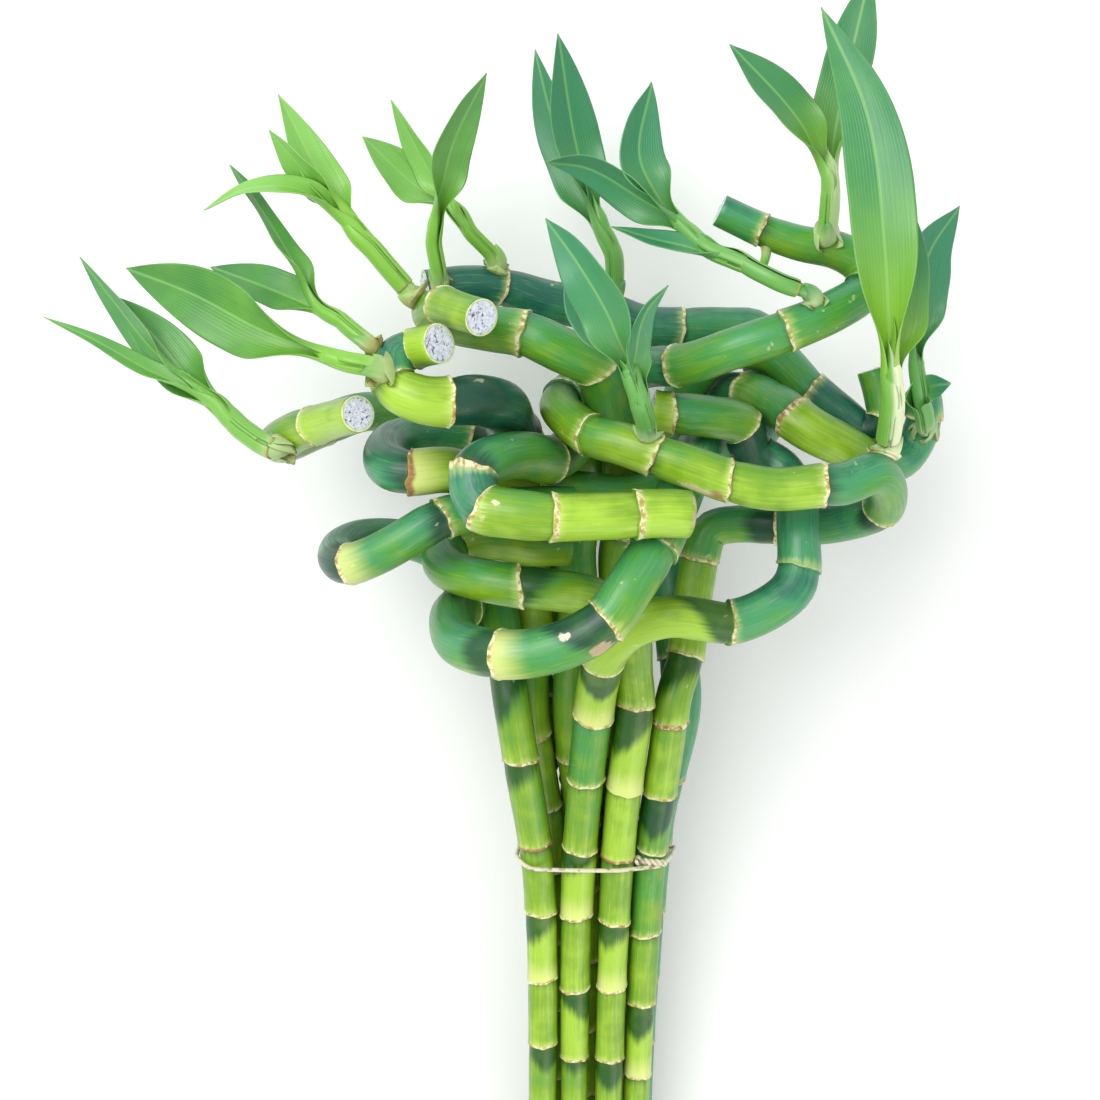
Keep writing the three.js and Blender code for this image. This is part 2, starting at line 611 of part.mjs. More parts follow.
function tieGeometry(canes) {
  const loop = tieLoop(sectionsAtTie(canes));
  const ring = new THREE.TorusGeometry(2 * WIRE_RADIUS, WIRE_RADIUS, WIRE_SIDES, WIRE_STEPS);
  const place = ring.attributes.position;
  for (let i = 0; i < place.count; i += 1) {
    const step = i % (WIRE_STEPS + 1);
    const around = (2 * Math.PI * Math.floor(i / (WIRE_STEPS + 1))) / WIRE_SIDES;
    const centre = loop[step % WIRE_STEPS].clone();
    const before = loop[(step + WIRE_STEPS - 1) % WIRE_STEPS];
    const tangent = new THREE.Vector3().subVectors(loop[(step + 1) % WIRE_STEPS], before).normalize();
    const side = new THREE.Vector3().crossVectors(bundleAxis, tangent).normalize();
    const rise = new THREE.Vector3().crossVectors(tangent, side);
    centre.addScaledVector(side, -WIRE_RADIUS * Math.cos(around));
    centre.addScaledVector(rise, WIRE_RADIUS * Math.sin(around));
    place.setXYZ(i, centre.x, centre.y, centre.z);
  }
  const route = addFrames(makeRoute(twistPoints(loop[TWIST_STEP]), 1));
  const knot = bentLathe(stemProfile(route, [TWIST_RADIUS, TWIST_RADIUS * TWIST_TAPER]), WIRE_SIDES, route);
  return fuse([ring, knot]);
}

// The bunch

const caneFinish = { color: 0x6fae2c, roughness: 0.45, metalness: 0 };
const leafFinish = { color: 0x3f9a3c, roughness: 0.4, metalness: 0 };
const wireFinish = { color: 0xcfc3a4, roughness: 0.6, metalness: 0 };

function addMesh(group, name, geometry, finish) {
  const mesh = new THREE.Mesh(geometry, new THREE.MeshStandardMaterial(finish));
  mesh.name = name;
  group.add(mesh);
}

const canes = Object.fromEntries(Object.entries(CANES).map(([name, cane]) => [name, layCane(cane)]));
easeApart(Object.values(canes));

const bunch = new THREE.Group();
for (const [name, cane] of Object.entries(canes)) {
  addFrames(cane.route);
  addMesh(bunch, name, closedMesh(bentLathe(caneProfile(cane), CANE_SIDES, cane.route)), caneFinish);
}
for (const [name, shoot] of Object.entries(SHOOTS)) {
  addMesh(bunch, name, shootGeometry(shoot, canes[shoot.cane]), leafFinish);
}
addMesh(bunch, 'tie', tieGeometry(Object.values(canes)), wireFinish);

export default bunch;
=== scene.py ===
"""Looks of a bunch of lucky bamboo: eleven curled canes, twelve leafy shoots and a wire tie.

The routes are those of the solid model, in millimetres, and are scaled to metres as meshes are written.
Every shape is a surface worked out with numpy: a profile carried along a route.
"""

import bpy
import numpy as np
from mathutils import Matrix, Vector


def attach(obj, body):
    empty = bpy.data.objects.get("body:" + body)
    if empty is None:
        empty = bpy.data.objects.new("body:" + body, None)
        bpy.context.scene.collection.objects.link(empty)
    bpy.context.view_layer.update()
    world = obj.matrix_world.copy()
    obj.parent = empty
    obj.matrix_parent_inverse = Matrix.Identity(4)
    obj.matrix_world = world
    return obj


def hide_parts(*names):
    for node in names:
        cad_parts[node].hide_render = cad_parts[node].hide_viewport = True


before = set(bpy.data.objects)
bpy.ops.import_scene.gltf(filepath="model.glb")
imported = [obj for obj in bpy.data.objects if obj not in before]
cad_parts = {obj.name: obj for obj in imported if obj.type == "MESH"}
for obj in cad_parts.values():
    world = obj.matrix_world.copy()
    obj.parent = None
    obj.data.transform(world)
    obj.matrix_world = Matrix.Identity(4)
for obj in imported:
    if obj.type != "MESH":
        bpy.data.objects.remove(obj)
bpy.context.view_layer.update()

MM = 0.001
UP = np.array([0.0, 0.0, 1.0])

# The straight part of the bunch, as in the solid model
TIE_CENTRE = np.array([26.0, -54.0, 35.4])
FOOT_CENTRE = np.array([24.6, -186.5, 13.2])
FOOT_SQUEEZE = 0.88
FOOT_RADIUS = 4.0
SLIM_LENGTH = 40.0
THICKEN_LENGTH = 200.0
TIP_LENGTH = 60.0
LAST_RING_MARGIN = 2.0

# How the canes keep clear of each other and of the surface, as in the solid model
CLEARANCE = 0.9
FLOOR_CLEARANCE = 0.05
CURVE_POINTS = 12
ROUTE_STEP = 3.0
OWN_LENGTH = 27.0
EASE_ROUNDS = 40
EASE_GAIN = 1.3
SMOOTHINGS = 6
HELD_FOOT = 40.0

# A cane's skin: columns round it, rows between the rings, and the shape of a ring
CANE_SEED = 100
CANE_COLUMNS = 40
ROW_STEP = 1.5
RING_ROWS = np.array([-7, -5, -3.4, -2.2, -1.3, -0.7, -0.3, -0.1, 0.05, 0.2, 0.4, 0.65, 0.95, 1.4, 2.1, 3.1,
                      4.6, 6.5])
RING_FLARE = 0.055
RING_FLARE_LENGTH = 4.0
RING_LIP = 0.03
RING_LIP_WIDTH = 0.35
RING_WAIST = 0.045
RING_WAIST_LENGTH = 5.0
RING_SLANT = (0.405, 0.27)
RING_RIPPLES = (0.16, 0.1)

# How uneven a skin is: its section's two waves, a swell along it, and how much of that is left at a ring
OVAL_WAVES = (0.018, 0.008)
SWELL = 0.012
SWELL_LENGTH = 7.0
EVEN_LENGTH = 3.0
EVEN_SHARE = 0.35

# A cut end: its bevel, its rings as shares of its radius, its dish and its roughness
CUT_BEVEL = 0.2
CUT_SHARES = np.array([0.93, 0.8, 0.62, 0.42, 0.2])
CUT_DISH = 0.2
CUT_WAVES = (0.12, 0.1)

# Stems: how deep they start in the skin, how they rise from it, and how thick they are inside their sheaths
SHOOT_SEED = 500
TWIG_SEED = 7
FINE_STEP = 1.0
STEM_COLUMNS = 20
STEM_STEP = 0.6
STEM_DEPTH = 0.6
STEM_SEAT = 0.3
STEM_END_MARGIN = 3.0
STEM_RISE = 1.5
STEM_SHARES = (1.08, 0.8)
STEM_SWELL_LENGTH = 3.0
STEM_POINT = 0.98
STEM_POINT_LENGTH = 2.0
TWIG_POINT_START = 0.8
NO_SHEATH_EDGE = 20.0
SHOOT_LOOKS = {"cool": 0.0, "brown": 0.35, "flank": 0.0, "light": 0.0}

# Leaves: wraps are the angles that half a section turns through, in radians
LEAF_STEP = 1.1
LEAF_FOOT_ROWS = (0.3, 0.7, 1.2)
HALF_COLUMNS = 14
SHEATH_WRAP = 3.02
BLADE_WRAP = 0.42
BLADE_CREASE = 0.55
BRACT_WRAP = 1.5
OPENING_LEAD = 4.0
OPENING_SHARE = 0.45
NECK_DRAW = 0.35
NECK_PLACE = 0.1
NECK_SPREAD = 0.012
TIP_POWER = 1.8
TIP_WIDTH = 0.3
EDGE_THICKNESS = 0.1
BLADE_THICKNESS = 0.2
TIP_THINNING = 0.6
RIB_HEIGHT = 0.3
RIB_WIDTH = 0.6
RIB_GROOVE = 0.35
MARGIN_WAVES = 0.03
MARGIN_COUNTS = (13, 11)
MARGIN_FADE = 0.7
UNDERSIDE_SHIFT = 40.0
SHEATH_REACH = 18.0
SHEATH_LEAST = 3.0
SHEATH_FOOT = 1.5
SHEATH_SPACING = 3.0
SHEATH_SKIN = 0.1
SHEATH_STEP_IN = 0.18
SHEATH_POINTS = 4.0
SHEATH_END = 2.0
SHEATH_FADE = 10.0
LEAVE_START, LEAVE_LENGTH = 1.0, 14.0
BRACT_LENGTHS = (4.5, 6.5)
BRACT_POINTS = 12
BRACT_START = 0.4
BRACT_NECK = 1.6
BRACT_LEAN = 0.04
BRACT_GAP = 0.12
BRACT_WIDTH = 3.2
BRACT_BELLY = 0.3

# The tie
WIRE_RADIUS = 0.6
WIRE_POINTS = 176
WIRE_CLEARANCE = 0.4
WIRE_PLACE = 1.8
WIRE_SLOPE = 0.36
WIRE_DIP = 1.6
WIRE_COLUMNS = 12
WIRE_SMOOTHINGS = 3
SOLID_WIRE_STEPS = 44
TWIST_START = 5
TWIST_RISES = (1.2, 2.0, 2.2)
TWIST_LENGTH = 9.0
TWIST_LEAN = 1.6
TWIST_TURNS = 2.6
TWIST_POINTS = 30
TWIST_STEPS = (0.35, 0.3)
TWIST_SPREAD = (0.95, 1.85)
TWIST_OPENS = 0.75
TWIST_WIRE_RADIUS = 0.552
ROUND_END_LEAST = 0.02

# The tones of the internodes, lemon, lime, green, cool green and teal, as a number for the material, and
# how far a small and a large pale foot reach. Cool green and teal stand partly for painted shade and a
# painted bluish sheen.
TONES = {"y": 0.0, "l": 1.0, "g": 2.0, "c": 3.0, "t": 4.0}
SMALL_FOOT, LARGE_FOOT = 3.0, 9.5

# The kinds of node ring: width, brownness and strength
RIMS = {"plain": (1.15, 0.2, 0.92), "faint": (0.5, 0.1, 0.25), "brown": (1.3, 0.8, 1.0),
        "pink": (1.6, 0.5, 1.0), "white": (1.9, 0.0, 1.0)}

# A dark band's greatest chance reach, and how its reach falls from its deepest side to the other
SMALL_BAND = 2.5
BAND_DEEPEST, BAND_FALL = 1.15, 1.1

# The camera: its focal length is counted in pixels of the photograph
PHOTO_FOCAL_PIXELS = 1800.0
PHOTO_SIZE = 1100.0
SENSOR = 36.0
CAMERA_AIM = np.array([13.0, 42.0, 60.0])
CAMERA_TILT = np.radians(10.5)
CAMERA_DISTANCE = 480.0
EYE = CAMERA_AIM + CAMERA_DISTANCE * np.array([0.0, np.sin(CAMERA_TILT), np.cos(CAMERA_TILT)])
FLOOR_HALF = 3.0

# The lights' places in metres, their sizes, powers and colours, and the light of the surroundings
LIGHTS = {"key": ((-0.55, 0.7, 1.15), 1.1, 13.0, (1.0, 1.0, 0.98)),
          "fill": ((0.6, -0.8, 0.7), 0.9, 3.0, (1.0, 0.98, 0.86))}
SURROUNDINGS = {"Color": (0.97, 0.99, 1.0, 1.0), "Strength": 0.85}

# Scars on the skin: the ring below and how far above it, the side as for bands, half the length and half
# the width in millimetres, and how brown they are
SCARS = {
    "cane_3": [(13, 5.0, -20, 1.4, 0.8, 0.1), (15, 12.6, 0, 0.9, 6.0, 0.5)],
    "cane_4": [(11, 18.0, -18, 1.4, 1.4, 0.0), (11, 24.0, 55, 3.0, 2.6, 0.65)],
    "cane_7": [(14, 7.2, -60, 5.2, 1.3, 0.35), (14, 2.8, -55, 2.2, 1.6, 0.9)],
}

# The values of above, below and band where a cut end has no ring
NO_RING_BELOW, NO_RING_ABOVE, NO_BAND = 8.0, 12.0, -9.0

# A route point with this mark sits on a node ring
RING = "ring"


# Every cane: slot is its place in the tied bundle, as millimetres across and up from the bundle's
# axis; rings are the distances of its lower node rings from its cut foot; crown and tip are its
# radii in the crown and at its top; curl is its route above the straight part. The looks: tones has a
# letter for each internode, from the foot, and a capital where its pale foot is large; its cool green
# and teal stand partly for painted shade and a painted bluish sheen. rims has the node rings that
# aren't plain, and bands the rings with a dark band under them, partly the skin's own tone and partly
# painted shadow: how far it reaches and where it is deepest, in degrees from the side that faces the
# viewer towards the right hand of someone looking along the cane.
CANES = {
    "cane_1": {
        "slot": [-16.2, 9.5],
        "tones": "llllYlllgcGg", "rims": {6: "brown"},
        "bands": {3: (8, 20), 5: (9, -60), 6: (2, 0), 7: (8, -70), 8: (13, -60), 9: (6, 0), 10: (10, 0),
                  11: (6, 60)},
        "crown": 5.1, "tip": 5, "rings": [31, 54, 78, 100, 123, 146, 175],
        "curl": [[3, -2, 58], [2, 7, 54, RING], [-1, 18, 48], [-7, 29, 44], [-16, 38, 46, RING],
            [-26, 43, 50], [-36, 45, 58], [-41, 45, 70], [-41, 44, 82], [-37, 44, 90, RING],
            [-30, 47, 93], [-23, 51, 94], [-14, 56, 92, RING], [-4, 58, 88], [8, 58, 82], [19, 57, 80]],
    },
    "cane_2": {
        "slot": [-12.2, -0.5],
        "tones": "llllllllllgcYggtg", "rims": {12: "brown"},
        "bands": {11: (12, 0), 12: (3, 0), 16: (10, 0)},
        "crown": 5.6, "tip": 4.4, "rings": [14, 37, 60, 84, 108, 131, 154, 178],
        "curl": [[10, -4, 48], [9, 10, 46, RING], [7, 25, 45], [7, 39, 45, RING], [5, 50, 45],
            [-1, 62, 47], [-10, 71, 52, RING], [-20, 72, 58], [-27, 72, 66], [-29, 70, 78],
            [-27, 68, 86], [-22, 67, 89, RING], [-14, 67, 87], [-5, 64, 80], [8, 62, 72, RING],
            [24, 59, 64], [38, 63, 56], [51, 73, 50, RING], [63, 85, 50], [72, 91, 52],
            [82, 84, 54, RING], [90, 78, 56], [97, 73, 58], [102, 77, 60, RING], [101, 83, 59],
            [98, 90, 58]],
    },
    "cane_3": {
        "slot": [-2.6, -0.2],
        "tones": "lllllllllgggclyy", "rims": {14: "white", 15: "white"},
        "bands": {11: (5, 0), 12: (3, 0), 13: (0, 0), 14: (0, 0), 15: (0, 0)},
        "crown": 5.8, "tip": 5.6, "rings": [8, 31, 55, 78, 101, 125, 148, 171],
        "curl": [[17, -5, 47], [18, 10, 46], [19, 25, 45, RING], [20, 39, 45], [22, 50, 45],
            [25, 59, 45, RING], [26, 66, 50], [23, 71, 62], [13, 72, 80, RING], [6, 73, 92],
            [-1, 72, 103], [-5, 70, 108, RING], [-5, 66, 110], [-3, 62, 113, RING], [3, 61, 115],
            [13, 60, 115, RING], [24, 60, 114], [33, 60, 113, RING], [46, 60, 111]],
    },
    "cane_4": {
        "slot": [-15.2, -10.5],
        "tones": "llllllllgggGggccttt",
        "bands": {11: (7, 0), 12: (14, -60)},
        "crown": 5.9, "tip": 4.8, "rings": [20, 43, 66, 89, 113, 137, 160, 183],
        "curl": [[12, -8, 36], [7, 4, 34, RING], [1, 15, 38], [-6, 23, 50], [-11, 27, 66, RING],
            [-12, 28, 84], [-9, 26, 100], [1, 26, 111, RING], [9, 27, 114], [18, 30, 115],
            [26, 35, 115, RING], [32, 43, 113], [38, 51, 106, RING], [43, 58, 94], [49, 67, 78, RING],
            [56, 75, 60], [64, 83, 46], [70, 91, 38, RING], [70, 98, 35], [61, 99, 34],
            [49, 99, 35, RING], [38, 100, 36], [27, 104, 38, RING], [13, 107, 43], [0, 111, 48, RING],
            [-10, 112, 52], [-20, 111, 55]],
    },
    "cane_5": {
        "slot": [6, 10],
        "tones": "llllYlyYllgl", "rims": {6: "brown", 7: "faint"},
        "bands": {3: (9, 0), 5: (7, -30), 6: (2, 0), 8: (14, -50), 10: (9, 90), 11: (5, 0)},
        "crown": 5.4, "tip": 5, "rings": [27, 49, 73, 98, 120, 142, 166, 193, 216],
        "curl": [[36, 0, 62], [35, 10, 64], [34, 21, 70], [29, 30, 77], [21, 35, 84],
            [13, 37, 88], [6, 38, 89, RING], [-3, 39, 87], [-12, 40, 80], [-15, 42, 70],
            [-11, 43, 62, RING], [-3, 45, 62], [8, 43, 60], [18, 42, 56]],
    },
    "cane_6": {
        "slot": [-5, 10],
        "tones": "lllylYlgYyccgl", "rims": {11: "faint"},
        "bands": {3: (4, 0), 4: (10, 60), 6: (7, -50), 9: (13, 20), 10: (14, -70), 12: (14, 0)},
        "crown": 5.5, "tip": 5.4, "rings": [26, 49, 73, 97, 122, 145, 169, 191, 216],
        "curl": [[25, 1, 66], [26, 10, 72], [28, 21, 84], [34, 28, 90], [43, 31, 92],
            [51, 30, 91], [58, 29, 90, RING], [67, 32, 89], [74, 37, 87], [76, 42, 85, RING],
            [76, 51, 82], [76, 58, 76], [73, 65, 70], [66, 71, 68], [63, 77, 70, RING],
            [54, 79, 77], [43, 82, 80, RING], [36, 84, 78]],
    },
    "cane_7": {
        "slot": [15.2, 6.2],
        "tones": "lllYlgglllgcgllllcgggc", "rims": {8: "pink"},
        "bands": {4: (11, -10), 7: (13, 0), 9: (12, -60), 11: (8, 0), 12: (6, 0), 17: (4, 0), 20: (4, 0)},
        "crown": 5.2, "tip": 4, "rings": [17, 41, 65, 90, 114, 143, 162, 186],
        "curl": [[46, -2, 57], [50, 11, 53, RING], [52, 26, 50], [54, 37, 48, RING], [57, 45, 47],
            [65, 47, 48], [74, 47, 51, RING], [85, 48, 56], [94, 51, 63], [99, 55, 71, RING],
            [98, 62, 82], [93, 67, 91], [85, 65, 95], [80, 65, 97, RING], [68, 64, 97],
            [57, 66, 97, RING], [48, 69, 97], [39, 72, 96, RING], [30, 75, 94], [23, 76, 90, RING],
            [18, 78, 82], [19, 82, 72, RING], [26, 86, 68], [36, 89, 72], [44, 92, 83, RING],
            [58, 98, 92], [70, 102, 92, RING], [83, 107, 88], [91, 112, 82, RING], [91, 117, 79],
            [85, 121, 78], [75, 123, 78], [66, 126, 78, RING], [55, 131, 78]],
    },
    "cane_8": {
        "slot": [16.4, -4.6],
        "tones": "cccccccccccglcc", "rims": {12: "pink"},
        "bands": {13: (5, 0)},
        "crown": 5.8, "tip": 4.8, "rings": [22, 45, 69, 92, 115, 139, 162],
        "curl": [[50, -6, 42], [49, 8, 40, RING], [47, 24, 38], [46, 38, 33, RING], [45, 52, 17],
            [51, 68, 6, RING], [57, 80, 22], [63, 81, 52, RING], [74, 78, 70, RING], [85, 73, 72],
            [96, 68, 66, RING], [105, 67, 60], [109, 71, 58], [110, 78, 60, RING], [109, 83, 61]],
    },
    "cane_9": {
        "slot": [7.4, -1.2],
        "tones": "lllllllllllgggll",
        "crown": 5.7, "tip": 4.5, "rings": [10, 33, 57, 80, 103, 127, 150, 174],
        "curl": [[30, -4, 49], [30, 11, 46, RING], [30, 28, 43], [32, 44, 43, RING], [32, 60, 52],
            [31, 73, 64, RING], [27, 85, 76], [24, 93, 84, RING], [16, 97, 87], [7, 101, 87, RING],
            [-2, 102, 82], [-11, 103, 76], [-16, 105, 77, RING], [-15, 107, 85], [-13, 108, 90, RING],
            [-8, 107, 98], [-3, 106, 105]],
    },
    "cane_10": {
        "slot": [-4.8, -10.5],
        "tones": "lllllllllgtycy",
        "bands": {11: (12, 0)},
        "crown": 6.5, "tip": 4.8, "rings": [16, 39, 62, 86, 109, 133, 156],
        "curl": [[22, -8, 34], [19, 8, 33, RING], [16, 25, 32], [13, 43, 34, RING], [9, 60, 46],
            [5, 73, 70, RING], [2, 82, 88], [-5, 86, 100], [-11, 86, 104, RING], [-18, 87, 106],
            [-24, 90, 104, RING], [-24, 96, 99], [-20, 98, 98, RING], [-13, 100, 104]],
    },
    "cane_11": {
        "slot": [5, -10.8],
        "tones": "lllllllggggly",
        "crown": 5.5, "tip": 4.6, "rings": [26, 50, 73, 96, 119, 143, 166],
        "curl": [[28, -10, 28], [25, 6, 24, RING], [17, 22, 16], [6, 40, 9, RING], [-9, 57, 6],
            [-24, 69, 8, RING], [-38, 75, 22], [-49, 73, 38, RING], [-56, 71, 54], [-57, 72, 68],
            [-51, 76, 78], [-46, 78, 84, RING], [-41, 80, 90], [-33, 83, 102]],
    },
}


def blade(width, belly, roll, rib):
    """A blade: its width, how far along it is widest, its roll about its rib in degrees, and its rib."""
    return {"width": width, "belly": belly, "roll": roll, "rib": rib, "wrap": BLADE_WRAP}


# Every shoot: stem is its route, whose first point only says on which side of its cane it leaves;
# thick is its stem's radius at the foot and at the top. cool is how blue its green is, brown how brown
# the stem's foot, flank how white the stem's right-hand side, and light how light its leaves.
SHOOTS = {
    "shoot_1": {
        "cane": "cane_11", "cool": 0.35, "light": 0.3, "thick": [3, 2.6],
        "stem": [[-58, 70, 83], [-65, 76, 76], [-74, 83, 70], [-80, 87, 67]],
        "blades": [
            blade(14, 0.45, 12, [[-70, 80, 72], [-81, 88, 63], [-91, 99, 58], [-102, 109, 54]]),
            blade(10, 0.45, -38, [[-77, 85, 68], [-91, 96, 61], [-101, 108, 58], [-110, 119, 55]]),
            blade(7, 0.3, 50, [[-73, 83, 71], [-90, 90, 67], [-104, 98, 67], [-117, 104, 66]]),
        ],
    },
    "shoot_2": {
        "cane": "cane_10", "cool": 0.0, "light": 0.2, "thick": [2.7, 2.2],
        "stem": [[-28, 95, 112], [-35, 96, 109], [-43, 98, 106]],
        "blades": [
            blade(17, 0.5, -10, [[-39, 97, 107], [-56, 103, 101], [-73, 111, 94], [-91, 117, 85]]),
        ],
    },
    "shoot_3": {
        "cane": "cane_10", "cool": 0.2, "brown": 1.0, "thick": [2.2, 1.8],
        "stem": [[-32, 102, 99], [-38, 105, 96], [-45, 108, 92]],
        "blades": [
            blade(11.5, 0.5, 32, [[-39, 106, 95], [-48, 109, 89], [-59, 113, 84], [-72, 117, 76]]),
            blade(6, 0.72, 62, [[-43, 108, 93], [-50, 119, 88], [-57, 130, 84], [-66, 142, 78]]),
        ],
    },
    "shoot_4": {
        "cane": "cane_9", "cool": 0.0, "brown": 0.8, "light": 0.7, "thick": [2.8, 2.2],
        "stem": [[-27, 115, 82], [-31, 122, 83], [-40, 133, 81]],
        "blades": [
            blade(11.5, 0.35, 34, [[-35, 126, 83], [-45, 142, 80], [-54, 159, 75]]),
            blade(10.5, 0.5, -48, [[-38, 131, 82], [-48, 142, 85], [-55, 150, 85]]),
            blade(8, 0.35, 56, [[-37, 129, 83], [-49, 136, 87], [-60, 136, 87], [-72, 131, 82]]),
        ],
    },
    "shoot_5": {
        "cane": "cane_4", "cool": 0.1, "light": 0.4, "thick": [2.1, 1.9],
        "stem": [[-16, 113, 68], [-17, 126, 63], [-15, 133, 66]],
        "blades": [
            blade(12, 0.4, 38, [[-16, 128, 64], [-12, 146, 69], [-3, 165, 64]]),
        ],
    },
    "shoot_6": {
        "cane": "cane_4", "cool": 0.15, "light": 1.0, "thick": [2.2, 1.8],
        "stem": [[0, 120, 53], [-9, 127, 56], [-13, 134, 55]],
        "blades": [
            blade(10, 0.35, -46, [[-13, 132, 55], [-21, 146, 53], [-28, 159, 55]]),
            blade(13, 0.5, 26, [[-11, 131, 55], [-22, 137, 48], [-36, 150, 50]]),
        ],
    },
    "shoot_7": {
        "cane": "cane_4", "cool": 0.75, "light": -0.8, "thick": [2.6, 2.2],
        "stem": [[31, 112, 44], [30, 119, 46], [27, 127, 47], [24, 136, 47]],
        "blades": [
            blade(14, 0.45, 22, [[26, 128, 47], [20, 147, 47], [15, 176, 50]]),
            blade(12, 0.5, -30, [[27, 125, 46], [15, 151, 39], [9, 173, 38]]),
        ],
    },
    "shoot_8": {
        "cane": "cane_7", "cool": 0.75, "brown": 0.0, "light": -0.7, "thick": [2, 2.2],
        "stem": [[75, 112, 95], [68, 114, 96], [60, 118, 93], [51, 122, 88], [43, 130, 82]],
        "blades": [
            blade(12, 0.4, -40, [[47, 126, 84], [35, 134, 82], [23, 141, 78], [12, 143, 69]]),
            blade(13, 0.45, 24, [[44, 129, 83], [35, 143, 81], [38, 162, 75]]),
            blade(8, 0.4, 50, [[57, 120, 91], [47, 122, 89], [38, 124, 85], [28, 127, 84]]),
        ],
    },
    "shoot_9": {
        "cane": "cane_7", "cool": 0.85, "brown": 0.0, "light": -0.2, "thick": [2.2, 2.5],
        "stem": [[38, 81, 102], [34, 87, 108], [31, 96, 110]],
        "blades": [
            blade(13.5, 0.45, -28, [[32, 92, 109], [27, 106, 113], [20, 118, 113], [12, 129, 106]]),
            blade(8, 0.35, 40, [[34, 89, 108], [33, 100, 113], [35, 108, 116], [40, 114, 117]]),
            blade(14, 0.5, 18, [[32, 94, 109], [24, 105, 101], [17, 119, 96]]),
        ],
    },
    "shoot_10": {
        "cane": "cane_7", "cool": 0.6, "brown": 0.0, "flank": 1.0, "thick": [3, 2.8],
        "stem": [[98, 80, 88], [96, 85, 97], [95, 93, 101], [93, 101, 104]],
        "blades": [
            blade(16, 0.5, -8, [[95, 90, 99], [91, 122, 107], [87, 152, 102], [77, 178, 91]]),
            blade(13, 0.5, 28, [[95, 92, 100], [98, 117, 97], [97, 136, 92]]),
        ],
    },
    "shoot_11": {
        "cane": "cane_8", "cool": 0.95, "light": -0.5, "thick": [2.6, 2.1],
        "stem": [[111, 83, 69], [107, 88, 73], [106, 96, 74]],
        "blades": [
            blade(14.5, 0.5, 20, [[106, 93, 74], [106, 106, 74], [108, 120, 74], [116, 132, 71]]),
            blade(7, 0.4, 0, [[107, 85, 73], [110, 87, 76], [114, 88, 78]]),
        ],
    },
    "shoot_12": {
        "cane": "cane_7", "cool": 0.4, "brown": 0.0, "flank": 0.5, "thick": [2.5, 2.2],
        "stem": [[82, 127, 86], [81, 136, 87], [80, 146, 87]],
        "blades": [
            blade(12.5, 0.5, 30, [[80, 141, 87], [71, 154, 89], [56, 170, 86]]),
            blade(13, 0.55, -22, [[81, 138, 86], [83, 150, 79], [92, 189, 70]]),
        ],
    },
}


# A bare twig on the last internode of cane 7
TWIG = {"cool": 0.1, "brown": 1.0, "light": -0.3, "thick": [1.7, 1.1],
        "stem": [[67, 123, 78], [66, 118.5, 81.5], [63.5, 115, 84]]}


# Routes

def unit(v):
    return v / np.maximum(np.linalg.norm(v, axis=-1, keepdims=True), 1e-12)


def smooth_step(x):
    t = np.clip(x, 0.0, 1.0)
    return t * t * (3 - 2 * t)


def mix(a, b, share):
    return a + (b - a) * share


def smooth_curve(points):
    """Centripetal Catmull-Rom curve, each span of it worked out as a Hermite cubic.

    The knot gaps are the square roots of the chord lengths, and each end is extended by its own chord.
    """
    p = np.array([q[:3] for q in points], float)
    p = np.vstack([2 * p[0] - p[1], p, 2 * p[-1] - p[-2]])
    gap = np.sqrt(np.linalg.norm(np.diff(p, axis=0), axis=1))[:, None]
    slope = np.diff(p, axis=0) / gap
    chord = (p[2:] - p[:-2]) / (gap[:-1] + gap[1:])
    tangent = slope[:-1] - chord + slope[1:]
    a, b = p[1:-2, None], p[2:-1, None]
    ta, tb = (tangent[:-1] * gap[1:-1])[:, None], (tangent[1:] * gap[1:-1])[:, None]
    t = (np.arange(CURVE_POINTS) / CURVE_POINTS)[None, :, None]
    curve = (2 * t**3 - 3 * t**2 + 1) * a + (t**3 - 2 * t**2 + t) * ta
    curve = curve + (3 * t**2 - 2 * t**3) * b + (t**3 - t**2) * tb
    return np.vstack([curve.reshape(-1, 3), p[-2]])


class Route:
    """Evenly spaced points with a frame that is carried along them without twisting."""

    def __init__(self, line, length, marks=()):
        self.line, self.length, self.marks = line, length, marks
        self.tangents = unit(np.vstack([line[1:], line[-1:]]) - np.vstack([line[:1], line[:-1]]))
        normals = [UP]
        for tangent in self.tangents:
            normals.append(unit(normals[-1] - tangent * normals[-1].dot(tangent)))
        self.normals = np.array(normals[1:])

    def at(self, distance):
        """Centre, tangent and normal at distances: a uniform Catmull-Rom curve through the line's points."""
        last = len(self.line) - 1
        x = np.clip(np.asarray(distance, float) / self.length * last, 0.0, last)
        i = np.minimum(x.astype(int), last - 1)
        t = (x - i)[..., None]
        p0, p1, p2, p3 = (self.line[np.clip(i + k, 0, last)] for k in (-1, 0, 1, 2))
        p0 = np.where((i == 0)[..., None], 2 * p1 - p2, p0)
        p3 = np.where((i + 2 > last)[..., None], 2 * p2 - p1, p3)
        a = 2 * p0 - 5 * p1 + 4 * p2 - p3
        b = 3 * p1 - p0 - 3 * p2 + p3
        centre = 0.5 * (2 * p1 + (p2 - p0) * t + a * t**2 + b * t**3)
        tangent = unit((p2 - p0) + 2 * a * t + 3 * b * t**2)
        normal = mix(self.normals[i], self.normals[i + 1], t)
        return centre, tangent, unit(normal - tangent * np.sum(normal * tangent, -1, keepdims=True))


def lay_route(points, step):
    """A route along the smooth curve through points; marks are the distances at which they lie on it."""
    fine = smooth_curve(points)
    run = np.concatenate([[0.0], np.cumsum(np.linalg.norm(np.diff(fine, axis=0), axis=1))])
    count = max(2, int(np.floor(run[-1] / step + 0.5)))
    even = np.linspace(0.0, run[-1], count + 1)
    line = np.stack([np.interp(even, run, fine[:, k]) for k in range(3)], 1)
    return Route(line, run[-1], run[::CURVE_POINTS])


# The straight part of the bundle: its axis, and the two directions across it

